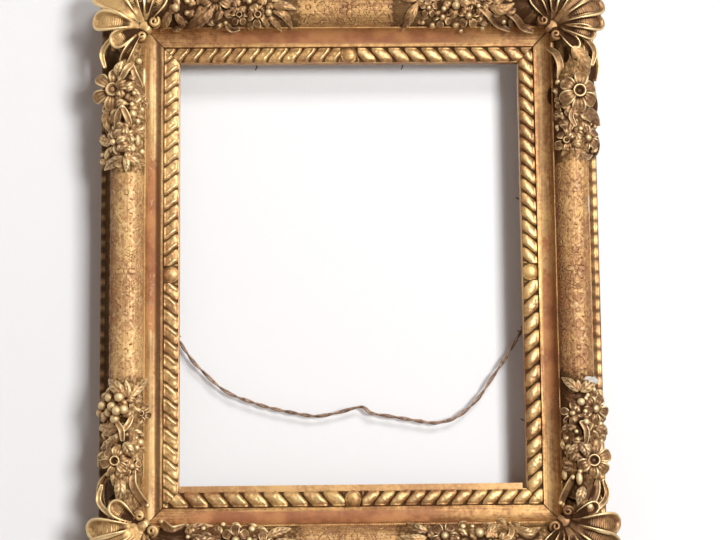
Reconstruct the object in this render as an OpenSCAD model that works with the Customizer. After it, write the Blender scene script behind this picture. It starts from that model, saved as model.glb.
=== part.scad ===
// Carved and gilded picture frame, upright, with its hanging wire.
// Millimetres. +Z is up, the front faces -Y and the back of the rails lies on the plane y = 0.
// The origin is the centre of the back plane.
// A rail is drawn along X as the bottom rail: s runs outward from the sight edge, h forward from the back.

/* [Opening] */
// Width of the sight opening
sight_w = 316; // [300:1:420]
// Height of the sight opening
sight_h = 396; // [380:1:520]

/* [Rail profile, widths outward from the sight edge] */
// Plain lip at the sight edge
lip_w = 4.5; // [3:0.5:7]
// Twist band
band_w = 10; // [8:0.5:14]
// Fillet between the band and the cove
inner_fillet_w = 2.5; // [1:0.5:4]
// Hollow frieze
cove_w = 12; // [8:0.5:18]
// Fillet between the frieze and the panel
mid_fillet_w = 1.5; // [1:0.5:4]
// Rounded engraved panel
panel_w = 30.5; // [24:0.5:36]
// Fillet outside the panel
outer_fillet_w = 1; // [1:0.5:3]
// Outer hollow
gorge_w = 7; // [5:0.5:12]
// Back edge
edge_w = 4; // [3:0.5:8]

/* [Rail profile, heights above the back] */
// Lip
lip_h = 20; // [17:0.5:24]
// Floor under the twist band
seat_h = 18; // [15:0.5:20]
// Fillet inside the frieze
inner_fillet_h = 23; // [21:0.5:26]
// Fillet outside the frieze
mid_fillet_h = 35; // [32:0.5:38]
// Rise of the rounded panel over its fillets
panel_rise = 14; // [8:0.5:15]
// Top of the back edge
edge_h = 15; // [10:0.5:20]
// Depth of the rebate
rebate_d = 12; // [9:0.5:14]
// Width of the rebate
rebate_w = 7; // [5:0.5:10]

/* [Twist band] */
// Spacing of the lobes along the rail
lobe_pitch = 14; // [12:0.5:20]
// Radius of a lobe
lobe_r = 4.4; // [3:0.1:4.8]
// Slant of the lobes across the band
lobe_slant = 45; // [35:1:60]
// Thickness of the strip under the lobes
strip_t = 2.5; // [1.5:0.5:4]
// Radius of the bead at the middle of each side
bead_r = 4.6; // [3:0.1:5]

/* [Corner keys] */
// Length of a key across the mitre
key_l = 56; // [30:1:60]
// Width of a key
key_w = 12; // [8:0.5:16]
// Depth of a key
key_d = 8; // [4:0.5:10]
// Distance of a key from the sight corner, along each rail's width
key_s = 40; // [34:1:44]

/* [Corner shells] */
// Distance of the hub from the sight corner, along each rail's width
hub_s = 30; // [26:1:34]
// Depth of the hub under the panel's crest
hub_sink = 4; // [2:0.5:6]
// Radius of the hub
hub_r = 8; // [6:0.5:10]
// Height of the lobes over the panel's crest
shell_rise = 2; // [1.5:0.5:4]
// Fall of the middle lobe, from where it crosses the panel to its tip
shell_fall = 21; // [15:1:26]
// Radius of the lobe tips
shell_tip_r = 7.5; // [5:0.5:9]
// Length of the middle lobe
shell_l = 66; // [56:1:70]
// Clearance between a shell and the sprays beside it
carving_gap = 1; // [0.5:0.5:3]

/* [Flower sprays] */
// Height of the large flowers' centres over the panel's crest
flower_rise = 4; // [3:0.5:6]
// Depth of the small carving's centres under the panel's crest
leaf_sink = 2; // [1:0.5:3]
// Length of a spray's ground along the rail
ground_l = 94; // [80:1:100]
// Thickness of the carved ground over the panel's crest
ground_t = 3; // [2:0.5:5]
// Length of a flower's foot, as a share of its radius
flower_foot = 0.5; // [0.4:0.05:0.6]

/* [Slip and brads] */
// Height of the slip along the bottom sight edge
slip_w = 5; // [3:0.5:8]
// Thickness of the slip, front to back
slip_t = 7; // [4:0.5:7.5]
// Distance of the slip's back behind the rebate's ledge, measured forward
slip_set = 0.4; // [0.2:0.1:0.5]
// Gap at the left end of the slip
slip_gap_left = 1; // [0.5:0.5:3]
// Gap at the right end of the slip
slip_gap_right = 4; // [0.5:0.5:6]
// Radius of a brad
brad_r = 0.6; // [0.5:0.05:0.9]
// Depth of a brad in the wood
brad_in = 9; // [6:0.5:12]
// Length of a brad past the sight edge
brad_out = 3; // [1:0.5:5]
// Height of the brads above the back
brad_h = 2; // [1.5:0.1:3]
// Bend of a brad's end
brad_bend = 25; // [5:1:40]
// Clearance round a brad and round a screw eye's shank
pilot_gap = 0.05; // [0.02:0.01:0.1]

/* [Screw eyes] */
// Distance of the eyes outward from the sight edge
eye_s = 15; // [13:0.5:20]
// Height of the eyes above the middle of the frame
eye_z = -30; // [-40:1:0]
// Distance of the ring's centre behind the back
eye_y = 7.5; // [6.5:0.5:10]
// Radius of the ring, to the middle of its wire
eye_ring_r = 5; // [4.5:0.1:6]
// Radius of the eye's wire
eye_wire_r = 1.1; // [0.9:0.1:1.3]
// Radius of the shank
shank_r = 1.3; // [1:0.1:1.6]
// Depth of the shank in the wood
shank_in = 12; // [8:0.5:13]

/* [Hanging wire] */
// Diameter over the two twisted strands
wire_d = 3.6; // [3:0.1:4]
// Diameter of one strand
strand_d = 1.7; // [1.4:0.1:1.8]
// Radius of the loop through an eye, to the middle of the strand
loop_r = 3.2; // [3:0.1:3.6]
// Turns of the end wound back round the wire
wrap_turns = 4; // [2:1:7]
// Spacing of these turns
wrap_pitch = 4.5; // [3:0.1:5]
// Clearance between the strand and what it passes round
strand_gap = 0.3; // [0.2:0.05:0.4]

/* [Hidden] */

gilt = [0.78, 0.62, 0.32];
carved_gilt = [0.66, 0.50, 0.27];
bare_wood = [0.55, 0.40, 0.26];
iron = [0.22, 0.20, 0.19];
wire_brown = [0.48, 0.33, 0.22];

// Places across the rail.
band_s = lip_w;
fillet_s = band_s + band_w;
cove_s = fillet_s + inner_fillet_w;
mid_s = cove_s + cove_w;
panel_s = mid_s + mid_fillet_w;
outer_s = panel_s + panel_w;
gorge_s = outer_s + outer_fillet_w;
edge_s = gorge_s + gorge_w;
rail_w = edge_s + edge_w;

// The panel is one arc over its chord.
panel_r = (pow(panel_w / 2, 2) + pow(panel_rise, 2)) / (2 * panel_rise);
panel_half_a = asin(min(1, panel_w / 2 / panel_r));
crest_h = mid_fillet_h + panel_rise;
hub_h = crest_h - hub_sink;
shell_crest_h = crest_h + shell_rise;

// Sides are numbered round the frame: 0 bottom, 1 left, 2 top, 3 right.
BOTTOM = 0;
LEFT = 1;
TOP = 2;
RIGHT = 3;
function half_along(side) = side % 2 == 0 ? sight_w / 2 : sight_h / 2;
function half_across(side) = side % 2 == 0 ? sight_h / 2 : sight_w / 2;

// The sprays are drawn in hundredths of the rail's width, their heights measured from the panel's crest.
hundredth = rail_w / 100;
flower_up = flower_rise / hundredth;
leaf_up = -leaf_sink / hundredth;

// Facet counts: an arc of the profile, round solids, and the small carving.
ARC_STEPS = 10;
ROUND_FN = 48;
CARVING_FN = 6;
// Roundness of a spray's ground.
ground_r = 6;

// Points of an arc in (s, h), from angle a0 to a1.
function arc(cs, ch, rs, rh, a0, a1) =
    [for (i = [0:ARC_STEPS]) let (a = a0 + (a1 - a0) * i / ARC_STEPS) [cs + rs * cos(a), ch + rh * sin(a)]];

inner_points = [
    [rebate_w, 0], [rebate_w, rebate_d], [0, rebate_d], [0, lip_h], [lip_w, lip_h], [lip_w, seat_h],
    [fillet_s, seat_h], [fillet_s, inner_fillet_h]];
// Step down from a fillet to the hollow beside it.
step_h = 1;
cove_points = arc(cove_s, mid_fillet_h - step_h, cove_w, mid_fillet_h - inner_fillet_h - step_h, -90, 0);
panel_points = arc(panel_s + panel_w / 2, crest_h - panel_r, panel_r, panel_r,
                   90 + panel_half_a, 90 - panel_half_a);
gorge_points = arc(edge_s, mid_fillet_h - step_h, gorge_w, mid_fillet_h - step_h - edge_h, 180, 270);
edge_round = edge_w / 2;
edge_points = arc(rail_w - edge_round, edge_h - edge_round, edge_round, edge_round, 90, 0);
edge_foot = 1.5;
rail_points = concat(inner_points, cove_points, [[mid_s, mid_fillet_h]], panel_points,
                     [[gorge_s, mid_fillet_h]], gorge_points, edge_points,
                     [[rail_w - edge_foot, edge_foot * 2], [rail_w - edge_foot * 2, 0]]);

// Reach of a cutting block past the rails.
OVER = 40;

// Puts a rail drawn along X onto its side.
module on_side(side) {
    rotate([0, side == RIGHT ? -90 : side * 90, 0])
        translate([0, 0, -half_across(side)])
            children();
}

// Extrudes a profile in (s, h) along a side, cut at both mitres.
module mitred(points, side) {
    half = half_along(side);
    reach = rail_w + OVER;
    intersection() {
        rotate([180, 90, 0])
            linear_extrude(2 * (half + reach), center = true)
                polygon(points);
        rotate([90, 0, 0])
            linear_extrude(4 * OVER, center = true)
                polygon([[-half, 0], [half, 0], [half + reach, -reach], [-half - reach, -reach]]);
    }
}

// A round bar from s0 to s1 across a rail, at place u along it and height h.
module cross_bar(u, s0, s1, h, r) {
    translate([u, -h, -s0])
        rotate([180, 0, 0])
            cylinder(r = r, h = s1 - s0, $fn = ROUND_FN);
}

// Brads along each side, as shares of half its length.
brad_shares = [[-0.576, 0.57], [], [0.55, -0.323], [0.359, -0.687]];
function brad_places(side) = half_along(side) * brad_shares[side];
function has_eye(side) = side == LEFT || side == RIGHT;
// The eyes' place along the left and the right rail.
function eye_u(side) = side == LEFT ? -eye_z : eye_z;

// One rail: profile, mitres, seats for the keys, pilot holes for the brads and the eye.
module rail(side) {
    on_side(side)
        difference() {
            mitred(rail_points, side);
            for (end = [-1, 1])
                key_block(side, end);
            for (u = brad_places(side))
                cross_bar(u, rebate_w - OVER / 8, rebate_w + brad_in, brad_h, brad_r + pilot_gap);
            if (has_eye(side))
                translate([eye_u(side), OVER / 8, -eye_s])
                    rotate([90, 0, 0])
                        cylinder(r = shank_r + pilot_gap, h = shank_in + OVER / 8, $fn = ROUND_FN);
        }
}

// A key's block at one end of a side, lying across the mitre in the rails' back.
module key_block(side, end) {
    translate([end * (half_along(side) + key_s), -key_d / 2, -key_s])
        rotate([0, -end * 45, 0])
            cube([key_l, key_d, key_w], center = true);
}

// The key of the corner at one end of the top or bottom side.
module corner_key(side, end) {
    color(bare_wood)
        on_side(side)
            key_block(side, end);
}

// Twist band of one side: a strip with slanted lobes that turn over at a bead in the middle.
module sight_twist(side) {
    half = half_along(side);
    lobes = floor((half - bead_r) / lobe_pitch);
    strip = [[band_s, seat_h], [fillet_s, seat_h], [fillet_s, seat_h + strip_t], [band_s, seat_h + strip_t]];
    reach = band_w / cos(lobe_slant);
    color(gilt)
        on_side(side) {
            mitred(strip, side);
            intersection() {
                mitred([[band_s, seat_h], [fillet_s, seat_h], [fillet_s, crest_h], [band_s, crest_h]], side);
                union() {
                    for (end = [-1, 1], i = [1:lobes])
                        translate([end * (bead_r + (i - 0.4) * lobe_pitch), -seat_h - strip_t / 2,
                                   -band_s - band_w / 2])
                            rotate([0, end * (90 - lobe_slant), 0])
                                cylinder(r = lobe_r, h = 2 * reach, center = true, $fn = ROUND_FN);
                    translate([0, -seat_h - strip_t / 2, -band_s - band_w / 2])
                        sphere(r = min(bead_r, band_w * 0.48), $fn = ROUND_FN);
                }
            }
        }
}

// Small carving is drawn from a sight corner: a runs inward along the rail, s outward, h forward.
module from_corner(side, end) {
    on_side(side)
        translate([end * half_along(side), 0, 0])
            if (end > 0)
                mirror([1, 0, 0])
                    children();
            else
                children();
}

// A ball at p = [a, s, h].
module ball(p, r) {
    translate([p[0], -p[2], -p[1]])
        sphere(r = r, $fn = CARVING_FN);
}

// A tapering stem or petal between two balls.
module petal(p, rp, q, rq) {
    hull() {
        ball(p, rp);
        ball(q, rq);
    }
}

// A leaf from p to q, widest in the middle.
module leaf(p, q, r) {
    hull() {
        ball(p, r / 3);
        ball((p + q) / 2, r);
        ball(q, r / 4);
    }
}

// A flower: n petals round a raised heart, on a tapering foot.
module flower(a, s, h, r, n, turn) {
    heart = r * 0.36;
    petal([a, s, h - 2 * r * flower_foot], heart, [a, s, h], heart);
    for (i = [0:n - 1]) {
        t = turn + i * 360 / n;
        petal([a + r * 0.3 * cos(t), s + r * 0.3 * sin(t), h - heart * 1.5], r * 0.24,
              [a + r * 0.7 * cos(t), s + r * 0.7 * sin(t), h - heart * 0.6], r * 0.3);
    }
}

// The low ground of a spray, which joins its flowers and leaves.
module ground() {
    hull()
        for (end = [-1, 1]) {
            a = end < 0 ? ground_r * 1.5 : ground_l - ground_r;
            ball([a - end * ground_r, panel_s + ground_r, mid_fillet_h + ground_r / 2], ground_r);
            ball([a, panel_s + panel_w / 2, crest_h - ground_r + ground_t], ground_r);
            ball([a - end * ground_r, outer_s - ground_r, mid_fillet_h + ground_r * 0.8], ground_r);
        }
}

// The two rails' body at a corner, which the carving is cut to sit on.
module rails_body(side) {
    on_side(side)
        mitred(rail_points, side);
}

// A spray's children, seated on their rail and kept clear of the shell.
module spray(side, end) {
    color(carved_gilt)
        difference() {
            from_corner(side, end) {
                ground();
                translate([0, -crest_h, 0])
                    scale(hundredth)
                        children();
            }
            rails_body(side);
            from_corner(side, end)
                translate([carving_gap - 2 * OVER, -3 * OVER, -3 * OVER])
                    cube([2 * OVER, 4 * OVER, 4 * OVER]);
        }
}

module spray_left_top() {
    spray(LEFT, -1) {
        flower(41, 78, flower_up, 26, 6, 10);
        leaf([27.5, 66, leaf_up], [8, 55, leaf_up - 5.5], 8);
        petal([11, 38.5, leaf_up - 8], 5.5, [34, 44, leaf_up - 4], 7.5);
        flower(53.5, 46.5, leaf_up, 13.5, 5, 0);
        petal([63, 64.5, leaf_up], 5.5, [90.5, 74, leaf_up], 4);
        petal([63, 61.5, leaf_up], 5.5, [86.5, 55, leaf_up], 4);
        petal([76.5, 52, leaf_up - 4], 5.5, [83.5, 46.5, leaf_up - 7], 5.5);
        flower(108, 78, flower_up - 2.5, 20.5, 5, 40);
        leaf([118, 68.5, leaf_up], [142.5, 86.5, leaf_up - 11], 9.5);
        leaf([115, 60.5, leaf_up], [133, 49.5, leaf_up - 4], 8);
    }
}

module spray_left_bottom() {
    spray(LEFT, 1) {
        flower(39.5, 72.5, flower_up, 19, 5, 20);
        petal([33, 55, leaf_up], 7.5, [24.5, 55, leaf_up - 2.5], 5.5);
        petal([38.5, 85, leaf_up - 8], 5.5, [41, 96, leaf_up - 13.5], 4);
        leaf([27.5, 68.5, leaf_up], [11, 76.5, leaf_up - 5.5], 8);
        petal([52, 57.5, leaf_up], 8, [63, 46.5, leaf_up - 5.5], 7);
        petal([60.5, 76.5, leaf_up], 8, [66, 66, leaf_up], 7);
        leaf([68.5, 71, leaf_up], [83.5, 97.5, leaf_up - 11], 12.5);
        flower(101.5, 79.5, flower_up - 1.5, 20.5, 6, 0);
        flower(97.5, 45, leaf_up, 13.5, 5, 30);
        leaf([112.5, 63, leaf_up], [139.5, 85, leaf_up - 9.5], 11);
        leaf([112.5, 57.5, leaf_up], [139.5, 38.5, leaf_up - 8], 11);
    }
}

module spray_right_top() {
    spray(RIGHT, 1) {
        flower(48, 74, flower_up, 29, 6, 0);
        flower(60.5, 43, leaf_up - 2, 11, 5, 0);
        petal([72.5, 42.5, leaf_up - 8], 7, [82, 55, leaf_up - 1.5], 5.5);
        leaf([64, 76, leaf_up - 2], [84, 97, leaf_up - 12], 8);
        leaf([11, 71, leaf_up], [27.5, 55, leaf_up], 8);
        petal([16.5, 41, leaf_up - 8], 7, [35.5, 44, leaf_up - 5.5], 7);
        petal([76.5, 68.5, leaf_up], 5.5, [90.5, 66, leaf_up], 5.5);
        flower(107, 81, flower_up - 1.5, 20.5, 5, 20);
        flower(109.5, 50.5, leaf_up, 16.5, 5, 0);
        leaf([120.5, 68.5, leaf_up], [139.5, 79.5, leaf_up - 8], 8);
        leaf([120.5, 57.5, leaf_up], [137, 46.5, leaf_up - 7], 8);
    }
}

module spray_right_bottom() {
    spray(RIGHT, -1) {
        flower(35.5, 78, flower_up, 24.5, 6, 30);
        petal([18, 44, leaf_up - 8], 5.5, [13.5, 59, leaf_up - 2.5], 5.5);
        petal([46.5, 63, leaf_up], 9.5, [52, 52, leaf_up], 7);
        petal([49.5, 42.5, leaf_up - 7], 5.5, [57.5, 46.5, leaf_up - 5.5], 5.5);
        petal([60.5, 66, leaf_up], 5.5, [82, 57.5, leaf_up], 4);
        petal([60.5, 68.5, leaf_up], 5.5, [82, 76.5, leaf_up], 4);
        leaf([63, 79.5, leaf_up - 4], [68.5, 101.5, leaf_up - 16.5], 9.5);
        flower(97.5, 81, flower_up - 1.5, 19, 5, 0);
        flower(98.5, 52, leaf_up + 2, 16.5, 5, 40);
        leaf([112.5, 59, leaf_up], [137, 39.5, leaf_up - 8], 9.5);
        leaf([112.5, 64.5, leaf_up], [135.5, 83.5, leaf_up - 8], 9.5);
    }
}

module spray_top_left() {
    spray(TOP, 1) {
        leaf([5.5, 60.5, leaf_up], [45, 39.5, leaf_up - 9.5], 11);
        flower(48, 74, flower_up, 27.5, 6, 0);
        petal([74, 57.5, leaf_up], 9.5, [79.5, 49.5, leaf_up - 2.5], 8);
        flower(101.5, 52, leaf_up + 1.5, 18, 5, 30);
        flower(90.5, 82, leaf_up + 1.5, 18, 5, 0);
        leaf([112.5, 60.5, leaf_up], [144, 41, leaf_up - 9.5], 11);
        leaf([109.5, 71, leaf_up], [141, 85, leaf_up - 8], 11);
        leaf([13.5, 79.5, leaf_up - 4], [33, 97.5, leaf_up - 16.5], 11);
    }
}

module spray_top_right() {
    spray(TOP, -1) {
        petal([8, 41, leaf_up - 9.5], 5.5, [38.5, 52, leaf_up], 8);
        flower(55, 76.5, flower_up, 26, 6, 20);
        flower(68.5, 48, leaf_up + 2, 15, 5, 0);
        flower(93, 50.5, leaf_up + 1.5, 16.5, 5, 30);
        flower(98.5, 79.5, leaf_up + 1.5, 19, 5, 10);
        petal([115, 57.5, leaf_up], 9.5, [120.5, 68.5, leaf_up], 8);
        leaf([123.5, 63, leaf_up], [149.5, 39.5, leaf_up - 9.5], 9.5);
        leaf([120.5, 71, leaf_up], [145, 85, leaf_up - 8], 9.5);
        leaf([16.5, 79.5, leaf_up - 4], [33, 97.5, leaf_up - 16.5], 11);
    }
}

module spray_bottom_left() {
    spray(BOTTOM, -1) {
        leaf([5.5, 60.5, leaf_up], [44, 41, leaf_up - 9.5], 11);
        flower(52, 75.5, flower_up, 27.5, 6, 15);
        flower(71, 49.5, leaf_up, 16.5, 5, 20);
        flower(101.5, 71, leaf_up + 2.5, 20.5, 5, 0);
        petal([90.5, 46.5, leaf_up - 4], 7, [104, 46.5, leaf_up - 4], 7);
        leaf([115, 60.5, leaf_up], [142.5, 44, leaf_up - 9.5], 11);
        leaf([112.5, 74, leaf_up], [141, 85, leaf_up - 8], 11);
        leaf([13.5, 79.5, leaf_up - 4], [33, 97.5, leaf_up - 16.5], 11);
    }
}

module spray_bottom_right() {
    spray(BOTTOM, 1) {
        petal([11, 46.5, leaf_up - 7], 7, [35.5, 55, leaf_up], 8);
        flower(52, 76.5, flower_up, 27.5, 6, 0);
        petal([60.5, 48, leaf_up - 2.5], 7, [74, 46.5, leaf_up - 4], 7);
        flower(90.5, 49.5, leaf_up + 2, 16.5, 5, 10);
        flower(98.5, 79.5, leaf_up + 1.5, 19, 5, 30);
        petal([109.5, 49.5, leaf_up - 2.5], 8, [118, 57.5, leaf_up], 8);
        leaf([118, 63, leaf_up], [146.5, 41, leaf_up - 9.5], 11);
        leaf([115, 74, leaf_up], [142.5, 85, leaf_up - 8], 11);
        leaf([16.5, 79.5, leaf_up - 4], [33, 97.5, leaf_up - 16.5], 11);
    }
}

// A shell's lobes, from the middle to one side: turn from the diagonal and share of the middle's length.
shell_lobes = [[0, 1], [19, 0.87], [38, 0.77], [56, 0.65], [80, 0.5]];
// Length of the stretch of a lobe that runs over the panel, from the hub.
crest_reach = 26;
// Distance of each volute from the hub's middle, along each rail's width.
hub_apart = hub_r * 0.6;

// One lobe: up from the hub, over the panel and down to its tip past the edge.
module shell_lobe(turn, share) {
    a = 45 + turn;
    tip = shell_l * share - shell_tip_r;
    crest = min(crest_reach, tip - hub_r / 4);
    drop = shell_fall * (tip - crest) / (shell_l - shell_tip_r - crest_reach);
    middle = [-hub_s - crest * cos(a), hub_s + crest * sin(a), shell_crest_h];
    end = [-hub_s - tip * cos(a), hub_s + tip * sin(a), shell_crest_h - drop];
    petal([-hub_s, hub_s, hub_h], hub_r / 2, middle, shell_tip_r * 0.7);
    petal(middle, shell_tip_r * 0.7, end, shell_tip_r * (0.5 + share / 2));
}

// The fan shell of a corner, saddled over both rails, with two volutes at its hub.
module corner_shell(side, end, other) {
    color(gilt)
        difference() {
            from_corner(side, end) {
                for (i = [0:4])
                    shell_lobe(shell_lobes[i][0], shell_lobes[i][1]);
                for (i = [1:4])
                    shell_lobe(-shell_lobes[i][0], shell_lobes[i][1]);
                for (e = [-1, 1])
                    petal([-hub_s + hub_apart * e, hub_s + hub_apart * e, hub_h - hub_r], hub_r * 0.8,
                          [-hub_s + hub_apart * e, hub_s + hub_apart * e, hub_h - hub_r / 8], hub_r * 0.8);
            }
            rails_body(side);
            rails_body(other);
            from_corner(side, end) {
                translate([0, -3 * OVER, -3 * OVER])
                    cube([4 * OVER, 4 * OVER, 5 * OVER]);
                translate([-3 * OVER, -3 * OVER, 0])
                    cube([4 * OVER, 4 * OVER, 2 * OVER]);
            }
        }
}

// The slip lies along the bottom sight edge, in front of the rebate.
module bottom_slip() {
    color(gilt)
        translate([-sight_w / 2 + slip_gap_left, -rebate_d - slip_set - slip_t, -sight_h / 2])
            cube([sight_w - slip_gap_left - slip_gap_right, slip_t, slip_w]);
}

// Bent brads in the wall of the rebate.
module rebate_brads() {
    color(iron)
        for (side = [BOTTOM, TOP, RIGHT], u = brad_places(side))
            on_side(side) {
                cross_bar(u, 0, rebate_w + brad_in, brad_h, brad_r);
                translate([u, -brad_h, -brad_r])
                    rotate([0, brad_bend, 0])
                        cylinder(r = brad_r * 0.9, h = brad_out, $fn = ROUND_FN);
            }
}

// A screw eye: ring in the plane across the rail, shank forward into the wood, with a cone point.
module screw_eye(side) {
    point_l = 3 * shank_r;
    color(iron)
        on_side(side)
            translate([eye_u(side), eye_y, -eye_s]) {
                rotate([0, side == LEFT ? 90 : -90, 0])
                    rotate([90, 0, 90])
                        eye_ring();
                rotate([90, 0, 0])
                    translate([0, 0, eye_ring_r])
                        cylinder(r = shank_r, h = eye_y - eye_ring_r + shank_in - point_l, $fn = ROUND_FN);
                translate([0, -eye_y - shank_in + point_l, 0])
                    rotate([90, 0, 0])
                        cylinder(r1 = shank_r, r2 = shank_r / 4, h = point_l, $fn = ROUND_FN);
            }
}

module eye_ring() {
    rotate_extrude($fn = ROUND_FN)
        translate([eye_ring_r, 0])
            circle(r = eye_wire_r, $fn = ROUND_FN);
}

// The loop hangs in the ring: its middle lies below the ring's own wire.
loop_drop = loop_r - strand_d / 2 - eye_wire_r - strand_gap;
loop_z = eye_z - eye_ring_r - loop_drop;
function loop_centre(sign) = [sign * (sight_w / 2 + eye_s), eye_y, loop_z];

// Half the distance between the loops.
half_span = sight_w / 2 + eye_s;
// Route of the free wire, left to right: [x, z] as shares of half the span, z from the loops' height.
wire_route = [
    [-0.861, -0.232], [-0.803, -0.295], [-0.711, -0.382], [-0.636, -0.428], [-0.561, -0.457],
    [-0.439, -0.497], [-0.277, -0.532], [-0.185, -0.544], [-0.075, -0.526], [0.012, -0.503],
    [0.052, -0.497], [0.075, -0.509], [0.110, -0.532], [0.208, -0.549], [0.312, -0.567],
    [0.416, -0.584], [0.468, -0.584], [0.555, -0.561], [0.636, -0.503], [0.699, -0.434],
    [0.763, -0.341], [0.827, -0.249]];
// Direction in which the wire leaves each loop.
left_aim = [12, -22];
right_aim = [-14, -18];

function unit(v) = v / norm(v);
function aim(sign) = let (v = unit(sign < 0 ? left_aim : right_aim)) [v[0], 0, v[1]];
// A point of the wire's straight end, at distance t from the loop's middle.
function on_end(sign, t) = loop_centre(sign) + aim(sign) * t;
wire_start = loop_r + strand_d / 2 + strand_gap;
wrap_end = wire_start + wrap_turns * wrap_pitch + strand_d;

wire_points = concat(
    [on_end(-1, wire_start), on_end(-1, (wire_start + wrap_end) / 2), on_end(-1, wrap_end + strand_d / 2)],
    [for (p = wire_route) [p[0] * half_span, eye_y, loop_z + p[1] * half_span]],
    [on_end(1, wrap_end + strand_d / 2), on_end(1, (wire_start + wrap_end) / 2), on_end(1, wire_start)]);

// A point between points i and i + 1 of a route, on a smooth curve through all of them.
function smooth(route, i, t) =
    let (n = len(route) - 1, p0 = route[max(i - 1, 0)], p1 = route[i], p2 = route[i + 1],
         p3 = route[min(i + 2, n)])
    0.5 * (2 * p1 + t * (p2 - p0) + t * t * (2 * p0 - 5 * p1 + 4 * p2 - p3)
           + t * t * t * (3 * p1 - p0 - 3 * p2 + p3));
wire_line = concat(
    [for (i = [0:len(wire_points) - 2], t = [0, 0.5]) smooth(wire_points, i, t)],
    [wire_points[len(wire_points) - 1]]);

// A tube of n-sided rings along a line; side_way is never parallel to the line.
module tube(line, d, sides, side_way) {
    last = len(line) - 1;
    rings = [for (i = [0:last])
        let (way = unit(line[min(i + 1, last)] - line[max(i - 1, 0)]),
             across = unit(cross(way, side_way)), over = cross(across, way))
        [for (k = [0:sides - 1])
            line[i] + d / 2 * (across * cos(k * 360 / sides) + over * sin(k * 360 / sides))]];
    walls = [for (i = [0:last - 1], k = [0:sides - 1], half = [0, 1])
        let (a = i * sides + k, b = i * sides + (k + 1) % sides)
        half == 0 ? [a, b, b + sides] : [a, b + sides, a + sides]];
    caps = [for (k = [1:sides - 2], end = [0, 1]) end == 0
        ? [0, k + 1, k]
        : [last * sides, last * sides + k, last * sides + k + 1]];
    polyhedron(points = [for (ring = rings, p = ring) p], faces = concat(walls, caps));
}

module hanging_wire() {
    color(wire_brown)
        tube(wire_line, wire_d, 8, [0, 1, 0]);
}

// The end of the wire: once through the eye, then wound back round the standing wire.
WRAP_STEPS = 24;
LOOP_OPEN = 32;
wrap_r = (wire_d + strand_d) / 2 + strand_gap;
function end_line(sign) =
    let (c = loop_centre(sign), d = aim(sign), e = sign * [-d[2], 0, d[0]])
    concat(
        [for (i = [0:WRAP_STEPS - 4]) let (a = LOOP_OPEN + i * (360 - 2 * LOOP_OPEN) / (WRAP_STEPS - 4))
            c + loop_r * (d * cos(a) + e * sin(a))],
        [for (i = [0:wrap_turns * WRAP_STEPS]) let (a = 360 * i / WRAP_STEPS)
            c + d * (wire_start + strand_d / 2 + wrap_pitch * i / WRAP_STEPS)
              - wrap_r * (e * cos(a) + [0, 1, 0] * sin(a))]);
// Gap between neighbouring turns, printed for the record.
wrap_slope = atan(wrap_pitch / (2 * PI * wrap_r));
echo(gap_between_turns = wrap_pitch * cos(wrap_slope) - strand_d);

module wire_end(sign) {
    line = end_line(sign);
    loop_points = WRAP_STEPS - 3;
    last = len(line) - 1;
    sides = 6;
    d = aim(sign);
    rings = [for (i = [0:last])
        let (way = unit(line[min(i + 1, last)] - line[max(i - 1, 0)]),
             blend = min(1, max(0, (i - loop_points + 4) / 8)),
             hint = unit([0, 1, 0] * (1 - blend) + d * blend),
             across = unit(cross(way, hint)), over = cross(across, way))
        [for (k = [0:sides - 1])
            line[i] + strand_d / 2 * (across * cos(k * 360 / sides) + over * sin(k * 360 / sides))]];
    walls = [for (i = [0:last - 1], k = [0:sides - 1], half = [0, 1])
        let (a = i * sides + k, b = i * sides + (k + 1) % sides)
        half == 0 ? [a, b, b + sides] : [a, b + sides, a + sides]];
    caps = [for (k = [1:sides - 2], end = [0, 1]) end == 0
        ? [0, k + 1, k]
        : [last * sides, last * sides + k, last * sides + k + 1]];
    color(wire_brown)
        polyhedron(points = [for (ring = rings, p = ring) p], faces = concat(walls, caps));
}

module rail_top() { color(gilt) rail(TOP); }
module rail_bottom() { color(gilt) rail(BOTTOM); }
module rail_left() { color(gilt) rail(LEFT); }
module rail_right() { color(gilt) rail(RIGHT); }

rail_top();
rail_bottom();
rail_left();
rail_right();
sight_twist(TOP);  // sight_twist_top
sight_twist(BOTTOM);  // sight_twist_bottom
sight_twist(LEFT);  // sight_twist_left
sight_twist(RIGHT);  // sight_twist_right
corner_key(TOP, 1);  // corner_key_top_left
corner_key(TOP, -1);  // corner_key_top_right
corner_key(BOTTOM, -1);  // corner_key_bottom_left
corner_key(BOTTOM, 1);  // corner_key_bottom_right
corner_shell(TOP, 1, LEFT);  // corner_shell_top_left
corner_shell(TOP, -1, RIGHT);  // corner_shell_top_right
corner_shell(BOTTOM, -1, LEFT);  // corner_shell_bottom_left
corner_shell(BOTTOM, 1, RIGHT);  // corner_shell_bottom_right
spray_left_top();
spray_left_bottom();
spray_right_top();
spray_right_bottom();
spray_top_left();
spray_top_right();
spray_bottom_left();
spray_bottom_right();
bottom_slip();
rebate_brads();
screw_eye(LEFT);  // screw_eye_left
screw_eye(RIGHT);  // screw_eye_right
hanging_wire();
wire_end(-1);  // wire_end_left
wire_end(1);  // wire_end_right
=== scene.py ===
"""Carved giltwood frame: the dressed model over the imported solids, and the studio round it."""
import math

import bpy
import numpy as np
from mathutils import Matrix, Vector


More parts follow.
